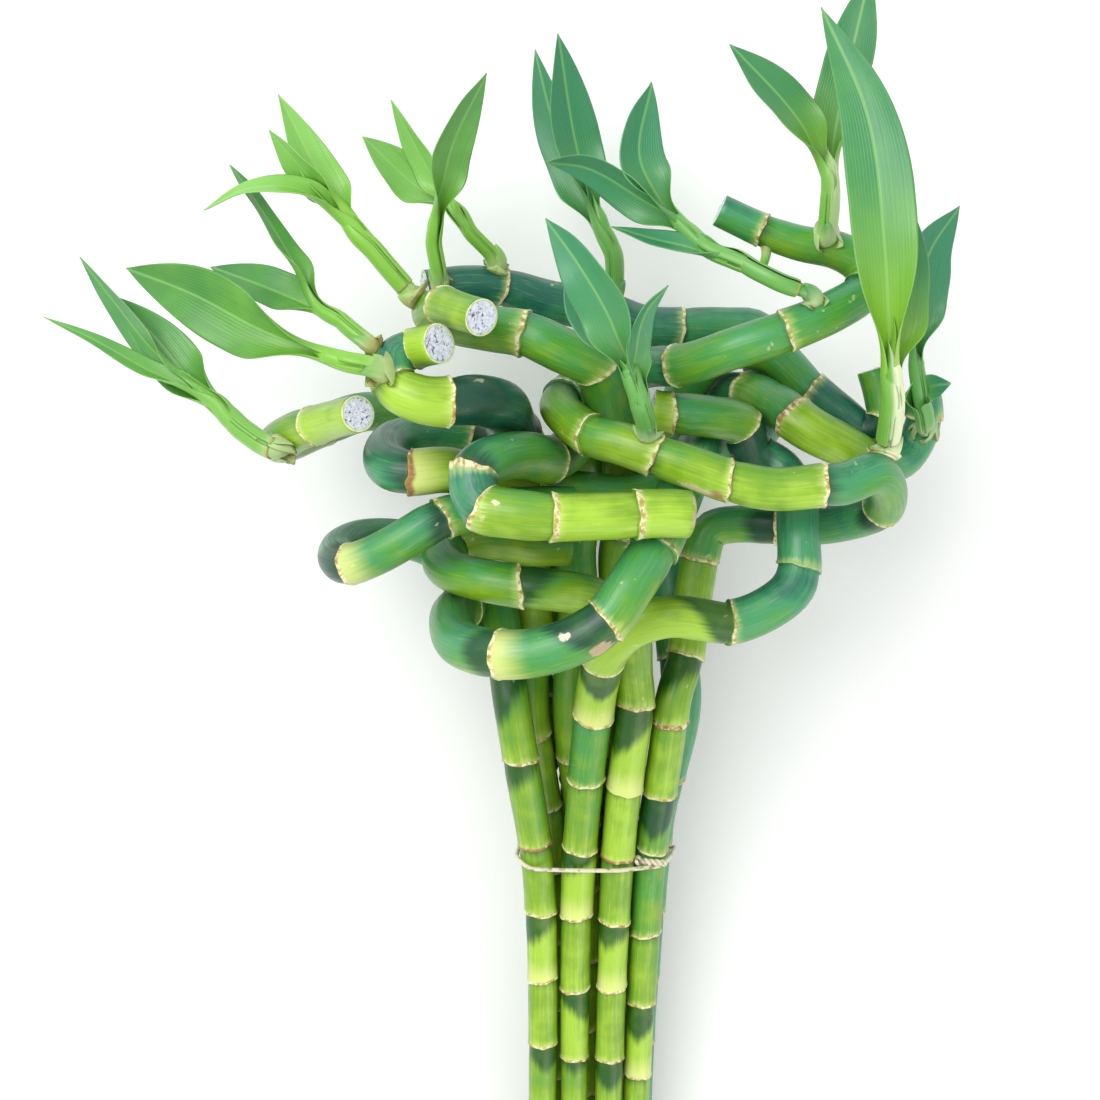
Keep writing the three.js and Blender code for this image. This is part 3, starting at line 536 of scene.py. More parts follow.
BUNDLE_AXIS = unit(TIE_CENTRE - FOOT_CENTRE)
BUNDLE_UP = unit(np.cross([1.0, 0.0, 0.0], BUNDLE_AXIS))
BUNDLE_ACROSS = np.cross(BUNDLE_AXIS, BUNDLE_UP)


def in_bundle(centre, across, up, ahead=0.0):
    """Points at distances from a centre across, up and along the bundle."""
    across, up, ahead = (np.asarray(v, float)[..., None] for v in (across, up, ahead))
    return centre + BUNDLE_ACROSS * across + BUNDLE_UP * up + BUNDLE_AXIS * ahead


class Cane:
    """A cane's line, radii, rings and looks, laid as in the solid model before the canes are eased apart."""

    def __init__(self, name, facts):
        self.name, self.crown, self.tip = name, facts["crown"], facts["tip"]
        letters, rims, self.bands = facts["tones"], facts.get("rims", {}), facts.get("bands", {})
        self.tones = np.array([TONES[letter.lower()] for letter in letters])
        self.feet = np.array([LARGE_FOOT if letter.isupper() else SMALL_FOOT for letter in letters])
        self.rims = np.array([RIMS[rims.get(ring, "plain")] for ring in range(len(letters) + 1)])
        slot, curl = np.array(facts["slot"]), facts["curl"]
        ends = [in_bundle(FOOT_CENTRE, *slot * FOOT_SQUEEZE), in_bundle(TIE_CENTRE, *slot)]
        route = lay_route([*ends, *curl], ROUTE_STEP)
        self.line, self.length = route.line, route.length
        on_curl = [mark for mark, point in zip(route.marks[2:], curl) if len(point) > 3]
        rings = [ring for ring in [*facts["rings"], *on_curl] if ring < self.length - LAST_RING_MARGIN]
        self.stops = np.array([0.0, *rings, self.length])
        self.step = self.length / (len(self.line) - 1)
        self.radii = self.radius(np.arange(len(self.line)) * self.step)

    def radius(self, distance):
        """Slim at the foot, thicker towards the crown and slim again at the tip, by two smooth steps."""
        crown = smooth_step((distance - SLIM_LENGTH) / THICKEN_LENGTH)
        tip = smooth_step((distance - self.length + TIP_LENGTH) / TIP_LENGTH)
        return FOOT_RADIUS + (self.crown - FOOT_RADIUS) * crown + (self.tip - self.crown) * tip


def pushes_on(cane, canes):
    """For each point of a cane, the sum of the half pushes from the deepest intruder of every cane."""
    push = np.zeros_like(cane.line)
    i = np.arange(len(cane.line))
    for other in canes:
        gap = cane.line[:, None] - other.line[None]
        apart = np.linalg.norm(gap, axis=2)
        if other is cane:
            apart = np.where(np.abs(i[:, None] - i[None]) * ROUTE_STEP < OWN_LENGTH, np.inf, apart)
        depth = cane.radii[:, None] + other.radii[None] + CLEARANCE - apart
        j = depth.argmax(1)
        deepest = np.maximum(depth[i, j], 0.0)
        reach = np.where(np.isfinite(apart[i, j]), apart[i, j], 1.0)
        push += gap[i, j] / np.maximum(reach, 1e-9)[:, None] * (deepest / 2)[:, None]
    return push


def ease_apart(canes):
    """Pushes canes that come too close apart, smoothly and in small rounds, with the cut feet held."""
    for _ in range(EASE_ROUNDS):
        moves = [pushes_on(cane, canes) for cane in canes]
        for cane, move in zip(canes, moves):
            for _ in range(SMOOTHINGS):
                move[1:-1] = (move[:-2] + 2 * move[1:-1] + move[2:]) / 4
            held = np.minimum(1.0, np.arange(len(move)) * ROUTE_STEP / HELD_FOOT)
            cane.line += move * EASE_GAIN * held[:, None]
            cane.line[:, 2] = np.maximum(cane.line[:, 2], cane.radii + FLOOR_CLEARANCE)


# Pieces

class Sheet:
    """Rows of points in millimetres, each row closed on itself, with every point's named values.

    Its ends are closed by fans of triangles to their poles. A leaf is wound inwards, a hoop's last row
    meets its first and has no ends, and cut_rows rows of faces at either end have the second material.
    """

    def __init__(self, points, values, inward=False, hoop=False, cut_rows=0, poles=None):
        self.points, self.inward, self.hoop, self.cut_rows = points, inward, hoop, cut_rows
        self.poles = self.ends(points) if poles is None else np.array(poles)
        flat = points.shape[:2]
        self.values = {key: value if np.ndim(value) == 3 else np.broadcast_to(value, flat)
                       for key, value in values.items()}

    def ends(self, value):
        """The means of a value's first and last rows, or nothing where there are no ends."""
        means = [] if self.hoop else [value[0].mean(0), value[-1].mean(0)]
        return np.array(means).reshape(-1, *value.shape[2:])

    def faces(self, first):
        """Quads and triangles from a first point number, and the material of each."""
        rows, columns = self.points.shape[:2]
        ids = first + np.arange(rows * columns).reshape(rows, columns)
        if self.hoop:
            ids = np.vstack([ids, ids[:1]])
        after = np.roll(ids, -1, 1)
        quads = np.stack([ids[:-1], after[:-1], after[1:], ids[1:]], -1)
        row = np.arange(len(quads))
        slots = (row < self.cut_rows) | (row >= len(quads) - self.cut_rows)
        pole = np.full(columns, first + rows * columns)
        fans = np.vstack([np.stack([pole, after[0], ids[0]], 1), np.stack([pole + 1, ids[-1], after[-1]], 1)])
        fans = fans[:0] if self.hoop else fans
        way = -1 if self.inward else 1
        return (quads.reshape(-1, 4)[:, ::way], fans[:, ::way], np.repeat(slots, columns),
                np.full(len(fans), self.cut_rows > 0))


def put_in_scene(name, data):
    thing = bpy.data.objects.new(name, data)
    bpy.context.scene.collection.objects.link(thing)
    return thing


def build_piece(name, sheets, materials, node=None):
    """One smooth piece at the origin from sheets; their values become its named attributes."""
    points, faces, values = [], [], {}
    for sheet in sheets:
        faces.append(sheet.faces(sum(len(p) for p in points)))
        points += [sheet.points.reshape(-1, 3), sheet.poles]
        for key, value in sheet.values.items():
            values.setdefault(key, []).extend([value.reshape(-1, *value.shape[2:]), sheet.ends(value)])
    quads, fans, quad_slots, fan_slots = (np.concatenate(part) for part in zip(*faces))
    points = np.concatenate(points)
    loops = np.concatenate([quads.ravel(), fans.ravel()])
    starts = np.concatenate([np.arange(len(quads)) * 4, quads.size + np.arange(len(fans)) * 3])
    mesh = bpy.data.meshes.new(name)
    mesh.vertices.add(len(points))
    mesh.vertices.foreach_set("co", (points * MM).astype(np.float32).ravel())
    mesh.loops.add(len(loops))
    mesh.loops.foreach_set("vertex_index", loops.astype(np.int32))
    mesh.polygons.add(len(starts))
    mesh.polygons.foreach_set("loop_start", starts.astype(np.int32))
    for material in materials:
        mesh.materials.append(material)
    mesh.polygons.foreach_set("material_index", np.concatenate([quad_slots, fan_slots]).astype(np.int32))
    mesh.polygons.foreach_set("use_smooth", np.ones(len(starts), bool))
    for key, parts in values.items():
        value = np.concatenate(parts).astype(np.float32)
        kind, field = ("FLOAT_VECTOR", "vector") if value.ndim == 2 else ("FLOAT", "value")
        mesh.attributes.new(key, kind, "POINT").data.foreach_set(field, value.ravel())
    mesh.update(calc_edges=True)
    mesh.validate()
    piece = put_in_scene(name, mesh)
    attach(piece, "root")
    if node:
        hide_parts(node)


def around(rows, columns):
    """Grids of the distance along a piece and of the angle round it."""
    return np.meshgrid(rows, np.arange(columns) * 2 * np.pi / columns, indexing="ij")


def rows_between(start, end, step):
    return np.linspace(start, end, max(2, int(round((end - start) / step)) + 1))


def tube_surface(route, distance, radius, turn):
    """Centre plus radius times the direction at an angle from the carried normal towards the side.

    The side is tangent cross normal. The straight form is the same tube unrolled onto a straight axis.
    """
    centre, tangent, normal = route.at(distance)
    side = np.cross(tangent, normal)
    out = normal * np.cos(turn)[..., None] + side * np.sin(turn)[..., None]
    straight = np.stack([radius * np.cos(turn), radius * np.sin(turn), distance], -1)
    return centre + out * radius[..., None], out, straight


def wrapped(angle):
    """An angle brought between minus and plus half a turn."""
    return np.angle(np.exp(1j * angle))


# Canes

def cane_rows(stops, length):
    """Row distances: a fixed pattern about each ring, even steps between, and close rows at the cut ends."""
    rows = [[CUT_BEVEL, length - CUT_BEVEL, 0.0, length], *(ring + RING_ROWS for ring in stops[1:-1])]
    for start, end in zip(stops[:-1], stops[1:]):
        low = start + (RING_ROWS[-1] if start > 0 else 0.0)
        high = end + (RING_ROWS[0] if end < length else 0.0)
        if high - low > ROW_STEP:
            rows.append(rows_between(low, high, ROW_STEP)[1:-1])
    found = np.unique(np.round(np.concatenate(rows), 3))
    return found[(found >= 0.0) & (found <= length)]


def viewer_angle(cane, distance):
    """The angle round a cane, at distances along it, at which its skin faces the viewer."""
    centre, tangent, normal = cane.route.at(distance)
    view = unit(EYE - centre)
    return np.arctan2(np.sum(view * np.cross(tangent, normal), -1), np.sum(view * normal, -1))


def ring_bands(cane, draw):
    """For each ring, how far the dark band under it reaches and the angle at which it is deepest."""
    reach = draw.random(len(cane.stops)) * SMALL_BAND
    side = draw.uniform(-180.0, 180.0, len(cane.stops))
    for ring, (far, angle) in cane.bands.items():
        reach[ring], side[ring] = far, angle
    return reach, viewer_angle(cane, cane.stops) + np.radians(side)


def scar_marks(cane, s, turn):
    """How deep in a scar each point lies, from 1 at its middle to 0, and how brown that scar is."""
    depth, brown = np.zeros_like(s), np.zeros_like(s)
    for ring, above, side, length, width, tone in SCARS.get(cane.name, []):
        place = cane.stops[ring] + above
        across = wrapped(turn - viewer_angle(cane, place) - np.radians(side)) * cane.radius(s)
        mark = np.exp(-(((s - place) / length) ** 2) - (across / width) ** 2)
        brown = np.where(mark > depth, tone, brown)
        depth = np.maximum(depth, mark)
    return depth, brown


def cane_surface(cane, draw):
    """Grid of a cane's skin over distance along it and angle round it, with its named values.

    The radius is the cane's own, times 1 plus a flare that fades above each ring, minus a waist that
    fades below it, plus a thin lip at the ring. Rings are slanted by a wave along the cane, and the
    section is a little oval and uneven by low sine waves of its own for every internode.
    """
    count = len(cane.stops) - 1
    s, turn = around(cane_rows(cane.stops, cane.length), CANE_COLUMNS)
    k = np.clip(np.searchsorted(cane.stops, s + 1e-6, side="right") - 1, 0, count - 1)
    above, below = s - cane.stops[k], cane.stops[k + 1] - s
    chance = draw.random(count + 1)
    reach, phase = ring_bands(cane, draw)
    slant = np.abs(draw.normal(0.0, 1.0, count + 1))
    wave = draw.random((count + 1, 3)) * 2 * np.pi

    first, last = k == 0, k == count - 1
    flare = np.where(first, 0.0, RING_FLARE * np.exp(-above / RING_FLARE_LENGTH))
    waist = np.where(last, 0.0, RING_WAIST * smooth_step(1 - below / RING_WAIST_LENGTH))
    lip = np.where(first, 0.0, RING_LIP * np.exp(-((above / RING_LIP_WIDTH - 1) ** 2)) * (above > 0.01))
    uneven = OVAL_WAVES[0] * np.cos(2 * turn + wave[k, 0]) + OVAL_WAVES[1] * np.cos(3 * turn + wave[k, 1])
    uneven = uneven + SWELL * np.sin(s / SWELL_LENGTH + wave[k, 2] + np.cos(turn))
    near_ring = np.minimum(above, below)
    edge = mix(EVEN_SHARE, 1.0, smooth_step(near_ring / EVEN_LENGTH))
    radius = cane.radius(s) * (1 + flare - waist + lip + uneven * edge)
    radius = radius - CUT_BEVEL * ((s < 1e-3) | (s > cane.length - 1e-3))

    near = np.where(above < below, k, k + 1)
    inner = (near > 0) & (near < count)
    lean = (RING_SLANT[0] + RING_SLANT[1] * slant[near]) * np.cos(turn - phase[near])
    lean = lean + RING_RIPPLES[0] * np.cos(5 * turn + wave[near, 0])
    lean = lean + RING_RIPPLES[1] * np.cos(9 * turn + wave[near, 1])
    shift = np.where(inner, lean * (1 - smooth_step(near_ring / RING_ROWS[-1])), 0.0)

    points, out, _ = tube_surface(cane.route, s + shift, radius, turn)
    points[..., 2] = np.maximum(points[..., 2], FLOOR_CLEARANCE)
    away = np.abs(wrapped(turn - phase[k + 1])) / np.pi
    band = reach[k + 1] * (BAND_DEEPEST - BAND_FALL * away) - below
    scar, scar_brown = scar_marks(cane, s, turn)
    # crownward and upward, the way the skin faces, carry the skin material's painted light and painted shade.
    return points, {
        "above": above + NO_RING_BELOW * first, "below": below + NO_RING_ABOVE * last,
        "chance": chance[k], "band": np.where(last, NO_BAND, band), "tone": cane.tones[k],
        "foot_reach": cane.feet[k], "rim_width": cane.rims[near, 0], "rim_brown": cane.rims[near, 1],
        "rim_strength": np.where(inner, cane.rims[near, 2], 0.0), "crownward": out[..., 1],
        "upward": out[..., 2], "scar": scar, "scar_brown": scar_brown,
        "straight": np.stack([radius * np.cos(turn), radius * np.sin(turn), s], -1),
    }


def with_cut_ends(cane, points, values):
    """A cane's sheet, with rows from the rim of each cut end to its middle, slightly dished and rough."""
    share, turn = around(CUT_SHARES, CANE_COLUMNS)
    waves = CUT_WAVES[0] * np.sin(7 * turn + 9 * share) + CUT_WAVES[1] * np.cos(13 * turn - 5 * share)
    rough = (waves * share - CUT_DISH * (1 - share))[..., None]
    inward = share[..., None] * [1.0, 1.0, 0.0] + [0.0, 0.0, 1.0]
    values = {**values, "share": np.ones(points.shape[:2]), "points": points}
    cuts, poles = [], []
    for row, way in ((0, -1), (-1, 1)):
        middle = points[row].mean(0)
        tangent = cane.route.at(cane.length if way > 0 else 0.0)[1] * way
        cut = {key: np.full(share.shape, value[row].mean()) for key, value in values.items()}
        cut["share"], cut["straight"] = share, values["straight"][row] * inward
        cut["points"] = middle + (points[row] - middle) * share[..., None] + tangent * rough
        cuts.append(cut)
        poles.append(middle - tangent * CUT_DISH)
    foot, tip = cuts
    values = {key: np.concatenate([foot[key][::-1], value, tip[key]]) for key, value in values.items()}
    return Sheet(values.pop("points"), values, cut_rows=len(CUT_SHARES), poles=poles)


def build_cane(cane, number):
    draw = np.random.default_rng(CANE_SEED + number)
    sheet = with_cut_ends(cane, *cane_surface(cane, draw))
    build_piece(cane.name + "_grown", [sheet], [skin_material, pith_material], cane.name)


# Shoots

def lay_stem(shoot, cane):
    """A stem's points: from just inside its cane's skin squarely out, and then along its own route."""
    towards, line = np.array(shoot["stem"][0], float), cane.line
    whole = line[: len(line) - int(np.ceil(STEM_END_MARGIN / cane.step))]
    nearest = int(np.argmin(np.linalg.norm(whole - towards, axis=1)))
    tangent = cane.route.tangents[nearest]
    out = towards - line[nearest]
    out = unit(out - tangent * out.dot(tangent))
    rises = (-STEM_DEPTH, STEM_SEAT + STEM_RISE)
    return [*(line[nearest] + out * (cane.radii[nearest] + rise) for rise in rises), *shoot["stem"][1:]]


def core_sheet(shoot, stem, last_neck):
    """A stem inside its sheaths: full at its foot, slimmer above, and pointed past the last neck."""
    s, turn = around(rows_between(0.0, stem.length, STEM_STEP), STEM_COLUMNS)
    point = smooth_step((s - last_neck) / (stem.length - last_neck))
    radius = mix(*shoot["thick"], s / stem.length) * mix(*STEM_SHARES, smooth_step(s / STEM_SWELL_LENGTH))
    radius = radius * (1 - STEM_POINT * point)
    points, out, straight = tube_surface(stem, s, radius, turn)
    return Sheet(points, {
        "straight": straight, "along": 0.0, "across": np.cos(turn), "width": 2 * radius,
        "since": NO_SHEATH_EDGE, "rise": s, "sheath": 1.0, "leaf": 0.0, "crownward": out[..., 1],
        "rightward": out[..., 0],
    })


def leaf_section(full, wrap, power):
    """Half of a leaf's section at each row: how far out and up it has gone at each column, and its turn.

    It is an arc of equal steps that starts at the rib and has turned by wrap times a power of the share
    of the way to the edge.
    """
    edges = np.linspace(0.0, 1.0, HALF_COLUMNS + 1)
    middles = wrap * ((edges[1:] + edges[:-1]) / 2) ** power
    steps = np.stack([np.cos(middles), np.sin(middles)]) * full / 2 / HALF_COLUMNS
    outs, rises = np.pad(np.cumsum(steps, 2), ((0, 0), (0, 0), (1, 0)))
    return outs, rises, wrap * edges**power


def leaf_sheet(leaf, route, neck_at, start, radius, hold, draw):
    """A leaf's two faces, from the foot of its sheath to the tip of its blade, closed at its edges.

    The section is nearly a ring round the stem in the sheath and a shallow V in the blade. Its length
    goes from the ring's to the blade's width, is drawn in at the neck, and past the widest place falls
    by one minus a power of the way. Edges wave, more towards the margin.
    """
    s = np.unique([*LEAF_FOOT_ROWS, *rows_between(0.0, route.length, LEAF_STEP)])[:, None]
    x = s - neck_at
    blade_length = route.length - neck_at
    t = np.clip(x / blade_length, 0.0, 1.0)
    opened = smooth_step((x + OPENING_LEAD) / (OPENING_SHARE * blade_length + OPENING_LEAD))
    ring = radius - SHEATH_SKIN * (1 - smooth_step(s / LEAF_FOOT_ROWS[-1]))
    past = np.maximum(0.0, (t - leaf["belly"]) / (1 - leaf["belly"]))
    full = mix(2 * SHEATH_WRAP * ring, leaf["width"], smooth_step(t / leaf["belly"]))
    neck = 1 - NECK_DRAW * np.exp(-((x / blade_length - NECK_PLACE) ** 2) / NECK_SPREAD)
    full = np.maximum(TIP_WIDTH, full * neck * (1 - past**TIP_POWER))

    wrap, power = mix(SHEATH_WRAP, leaf["wrap"], opened), mix(1.0, BLADE_CREASE, opened)
    upper = np.arange(-HALF_COLUMNS, HALF_COLUMNS + 1)
    column = np.concatenate([upper, upper[-2:0:-1]])
    face = np.where(np.arange(len(column)) < len(upper), 1.0, -1.0) * (np.abs(column) < HALF_COLUMNS)
    sign, share = np.sign(column), column / HALF_COLUMNS
    out, rise, bend = (part[:, np.abs(column)] for part in leaf_section(full, wrap, power))
    out = out * sign
    phase = draw.uniform(0, 2 * np.pi, 2)
    waves = [np.sin(count * t + start) for count, start in zip(MARGIN_COUNTS, phase)]
    waves = MARGIN_WAVES * full * np.where(share > 0, *waves) * share**2 * np.sin(np.pi * t) ** MARGIN_FADE
    thick = EDGE_THICKNESS + BLADE_THICKNESS * np.sqrt(1 - share**2) * opened * (1 - TIP_THINNING * t)
    rib = RIB_HEIGHT * np.exp(-((out / RIB_WIDTH) ** 2)) * np.sqrt(1 - t) * opened
    lift = np.where(face > 0, thick - RIB_GROOVE * rib, -thick - rib) * np.abs(face) + waves

    centre, tangent, normal = route.at(s)
    centre = centre - normal * hold(x, ring)[..., None]
    side = np.cross(normal, tangent)
    across, up = -np.sin(bend) * sign, np.cos(bend)
    points = centre + side * (out + across * lift)[..., None] + normal * (rise + up * lift)[..., None]
    facing = -(side * across[..., None] + normal * up[..., None])
    unrolled = np.broadcast_arrays(share * full / 2, np.where(face < 0, UNDERSIDE_SHIFT, 0.0), s)
    return Sheet(points, {
        "straight": np.stack(unrolled, -1), "along": t, "across": share, "width": full, "since": s,
        "rise": start + s, "sheath": 1 - smooth_step((x + SHEATH_END) / SHEATH_FADE), "leaf": 1.0,
        "crownward": facing[..., 1], "rightward": facing[..., 0],
    }, inward=True)


def grown_leaf(leaf, neck, rank, shoot, stem, draw):
    """A leaf whose sheath runs up the stem to its neck and whose blade follows its rib.

    Lower sheaths lie outside. The frame is level along the rib, rolled about it, and carried down the sheath.
    """
    start = min(max(SHEATH_FOOT + SHEATH_SPACING * rank, neck - SHEATH_REACH), neck - SHEATH_LEAST)
    low = stem.at(np.arange(start, neck - SHEATH_END, SHEATH_POINTS))[0]
    route = lay_route([*low, *leaf["rib"]], FINE_STEP)
    neck_at, tangents = route.marks[len(low)], route.tangents
    roll = np.radians(leaf["roll"])
    level = unit(UP - tangents * (tangents @ UP)[:, None])
    normals = level * np.cos(roll) + np.cross(tangents, level) * np.sin(roll)
    for row in range(int(round(neck_at / route.length * (len(route.line) - 1))) - 1, -1, -1):
        normals[row] = unit(normals[row + 1] - tangents[row] * tangents[row].dot(normals[row + 1]))
    route.normals = normals
    thick = mix(*shoot["thick"], neck / stem.length) + SHEATH_SKIN - SHEATH_STEP_IN * rank
    return leaf_sheet(leaf, route, neck_at, start, thick,
                      lambda x, ring: ring * (1 - smooth_step((x + LEAVE_START) / LEAVE_LENGTH)), draw)


def scale_leaf(shoot, stem, length, draw):
    """A small pointed scale at a stem's foot, whose tip leans away from it."""
    reach = min(length, stem.length - 1.0)
    route = Route(stem.at(np.linspace(BRACT_START, reach, BRACT_POINTS))[0], reach - BRACT_START)
    turn = draw.uniform(0, 2 * np.pi)
    route.normals = -(route.normals * np.cos(turn) + np.cross(route.tangents, route.normals) * np.sin(turn))
    thick = shoot["thick"][0] + SHEATH_SKIN + BRACT_GAP
    scale = {"width": BRACT_WIDTH * thick, "belly": BRACT_BELLY, "wrap": BRACT_WRAP}
    return leaf_sheet(scale, route, BRACT_NECK, BRACT_START, thick,
                      lambda x, ring: ring + BRACT_LEAN * np.maximum(x, 0.0), draw)


def finish_shoot(name, shoot, sheets, draw, node=None):
    """Gives every sheet of a shoot its looks and its own chance number, and makes them one piece."""
    looks = {key: shoot.get(key, usual) for key, usual in SHOOT_LOOKS.items()}
    for sheet in sheets:
        own = {"chance": draw.random(), **looks}
        sheet.values.update({key: np.full(sheet.points.shape[:2], value) for key, value in own.items()})
    build_piece(name, sheets, [leaf_material], node)


def build_shoot(name, shoot, cane, number):
    """A stem with its leaves, lowest first, and its small scales."""
    draw = np.random.default_rng(SHOOT_SEED + number)
    stem = lay_route(lay_stem(shoot, cane), FINE_STEP)
    ribs = np.array([leaf["rib"][0] for leaf in shoot["blades"]], float)
    nearest = np.linalg.norm(stem.line[None] - ribs[:, None], axis=2).argmin(1)
    necks = nearest * stem.length / (len(stem.line) - 1)
    sheets = [core_sheet(shoot, stem, min(necks.max(), stem.length - STEM_POINT_LENGTH))]
    for rank, index in enumerate(np.argsort(necks)):
        sheets.append(grown_leaf(shoot["blades"][index], necks[index], rank, shoot, stem, draw))
    sheets += [scale_leaf(shoot, stem, reach, draw) for reach in BRACT_LENGTHS]
    finish_shoot(name + "_grown", shoot, sheets, draw, name)


def build_twig():
    """A short bare side twig of cane 7."""
    route = lay_route(TWIG["stem"], FINE_STEP)
    sheet = core_sheet(TWIG, route, TWIG_POINT_START * route.length)
    finish_shoot("cane_7_twig", TWIG, [sheet], np.random.default_rng(TWIG_SEED))


# Tie

def tie_loop(canes, steps):
    """Points round the bundle: at each angle, the cane that reaches furthest out, at its radius and a gap."""
    sections = []
    for cane in canes:
        offset = cane.line - TIE_CENTRE
        ahead = offset @ BUNDLE_AXIS - WIRE_PLACE - WIRE_SLOPE * (offset @ BUNDLE_UP)
        i = int(np.argmax(ahead > 0))
        offset = mix(offset[i - 1], offset[i], ahead[i - 1] / (ahead[i - 1] - ahead[i]))
        sections.append([offset @ BUNDLE_ACROSS, offset @ BUNDLE_UP, cane.radii[i]])
    x, y, radius = np.array(sections).T
    angle = 2 * np.pi * np.arange(steps) / steps
    c, s = np.cos(angle), np.sin(angle)
    furthest = np.argmax(x * c[:, None] + y * s[:, None] + radius, 1)
    reach = radius[furthest] * (1 + RING_FLARE) + WIRE_RADIUS + WIRE_CLEARANCE
    up = y[furthest] + s * reach
    ahead = WIRE_PLACE + WIRE_SLOPE * up + WIRE_DIP * np.cos(2 * angle)
    return in_bundle(TIE_CENTRE, x[furthest] + c * reach, up, ahead)


def hoop_surface(loop):
    """A tube round a closed loop of points; its section turns with the bundle's axis, so it meets itself."""
    tangent = unit(np.roll(loop, -1, 0) - np.roll(loop, 1, 0))
    side = unit(np.cross(BUNDLE_AXIS, tangent))[:, None]
    rise = np.cross(tangent[:, None], side)
    turn = around([0.0], WIRE_COLUMNS)[1][..., None]
    return loop[:, None] + (rise * np.sin(turn) - side * np.cos(turn)) * WIRE_RADIUS


def strand_surface(points):
    """A wire along a smooth curve through points, with rounded ends."""
    route = lay_route(points, TWIST_STEPS[0])
    s, turn = around(rows_between(0.0, route.length, TWIST_STEPS[1]), WIRE_COLUMNS)
    end = np.minimum(1.0, np.minimum(s, route.length - s) / TWIST_WIRE_RADIUS)
    dome = np.sqrt(np.clip(1 - (1 - end) ** 2, ROUND_END_LEAST, 1.0))
    return tube_surface(route, s, TWIST_WIRE_RADIUS * dome, turn)[0]


def build_tie(canes):
    """The wire's loop and its two ends, wound round each other in a helix along the twist."""
    loop = tie_loop(canes, SOLID_WIRE_STEPS)
    corners = np.vstack([loop, loop[:1]])
    fine_at = np.linspace(0, len(loop), WIRE_POINTS, endpoint=False)
    base = fine_at.astype(int)
    fine = mix(corners[base], corners[base + 1], (fine_at - base)[:, None])
    for _ in range(WIRE_SMOOTHINGS):
        fine = (np.roll(fine, 1, 0) + 2 * fine + np.roll(fine, -1, 0)) / 4
    way = np.linspace(0.0, 1.0, TWIST_POINTS)
    lift = np.interp(way, np.linspace(0, 1, len(TWIST_RISES)), TWIST_RISES)
    middle = in_bundle(loop[TWIST_START], -way * TWIST_LENGTH, lift, way * TWIST_LEAN)
    spread = WIRE_RADIUS * mix(*TWIST_SPREAD, smooth_step((way - TWIST_OPENS) / (1 - TWIST_OPENS)))
    grids = [hoop_surface(fine)]
    for phase in (0.0, np.pi):
        angle = way * TWIST_TURNS * 2 * np.pi + phase
        grids.append(strand_surface(in_bundle(middle, 0.0, np.cos(angle) * spread, np.sin(angle) * spread)))
    sheets = [Sheet(grid, {"straight": grid}, hoop=index == 0) for index, grid in enumerate(grids)]
    build_piece("tie_wire", sheets, [wire_material], "tie")


# Colours, as the eye reads them on the screen, turned into the renderer's linear values

def linear(red, green, blue):
    c = np.array([red, green, blue]) / 255
    return (*np.where(c <= 0.04045, c / 12.92, ((c + 0.055) / 1.055) ** 2.4), 1.0)


LEMON = linear(164, 204, 54)
LIME = linear(126, 168, 28)
GREEN = linear(74, 152, 54)
COOL_GREEN = linear(62, 148, 98)
TEAL = linear(30, 102, 84)
DARK_TEAL = linear(6, 66, 46)
DEEP_GREEN = linear(26, 84, 8)
PALE_FOOT = linear(226, 232, 140)
CREAM = linear(240, 234, 196)
RING_TAN = linear(186, 164, 82)
DRY_BROWN = linear(158, 104, 62)
OLIVE = linear(96, 96, 24)
STEM_OLIVE = linear(142, 128, 44)
LEAF_GREEN = linear(98, 170, 32)
LEAF_DEEP = linear(44, 122, 42)
LEAF_COOL = linear(44, 134, 104)
SHEATH_LIME = linear(128, 188, 56)
SHEATH_WHITE = linear(226, 232, 190)
RIB_PALE = linear(160, 214, 120)
LEAF_NECK = linear(158, 206, 46)
PITH_WHITE = linear(222, 226, 238)
PITH_GREY = linear(140, 146, 176)
PITH_SPECK = linear(52, 44, 92)
PITH_RIM = linear(190, 206, 150)
WIRE_TAN = linear(220, 212, 186)
WIRE_WORN = linear(150, 136, 108)
FLOOR_WHITE = linear(253, 253, 253)


# Materials

class Signal:
    """The output of a node. Its sums, differences, products and quotients are math nodes."""

    def __init__(self, nodes, socket):
        self.nodes, self.socket = nodes, socket

    def __add__(self, other):
        return self.nodes.math("ADD", self, other)

    def __sub__(self, other):
        return self.nodes.math("SUBTRACT", self, other)

    def __mul__(self, other):
        return self.nodes.math("MULTIPLY", self, other)

    def __truediv__(self, other):
        return self.nodes.math("DIVIDE", self, other)

    def between(self, low, high, to_low=0.0, to_high=1.0):
        """A smooth step from to_low at low to to_high at high."""
        inputs = {"Value": self, "From Min": low, "From Max": high, "To Min": to_low, "To Max": to_high}
        return self.nodes.signal("ShaderNodeMapRange", 0, inputs, interpolation_type="SMOOTHSTEP")


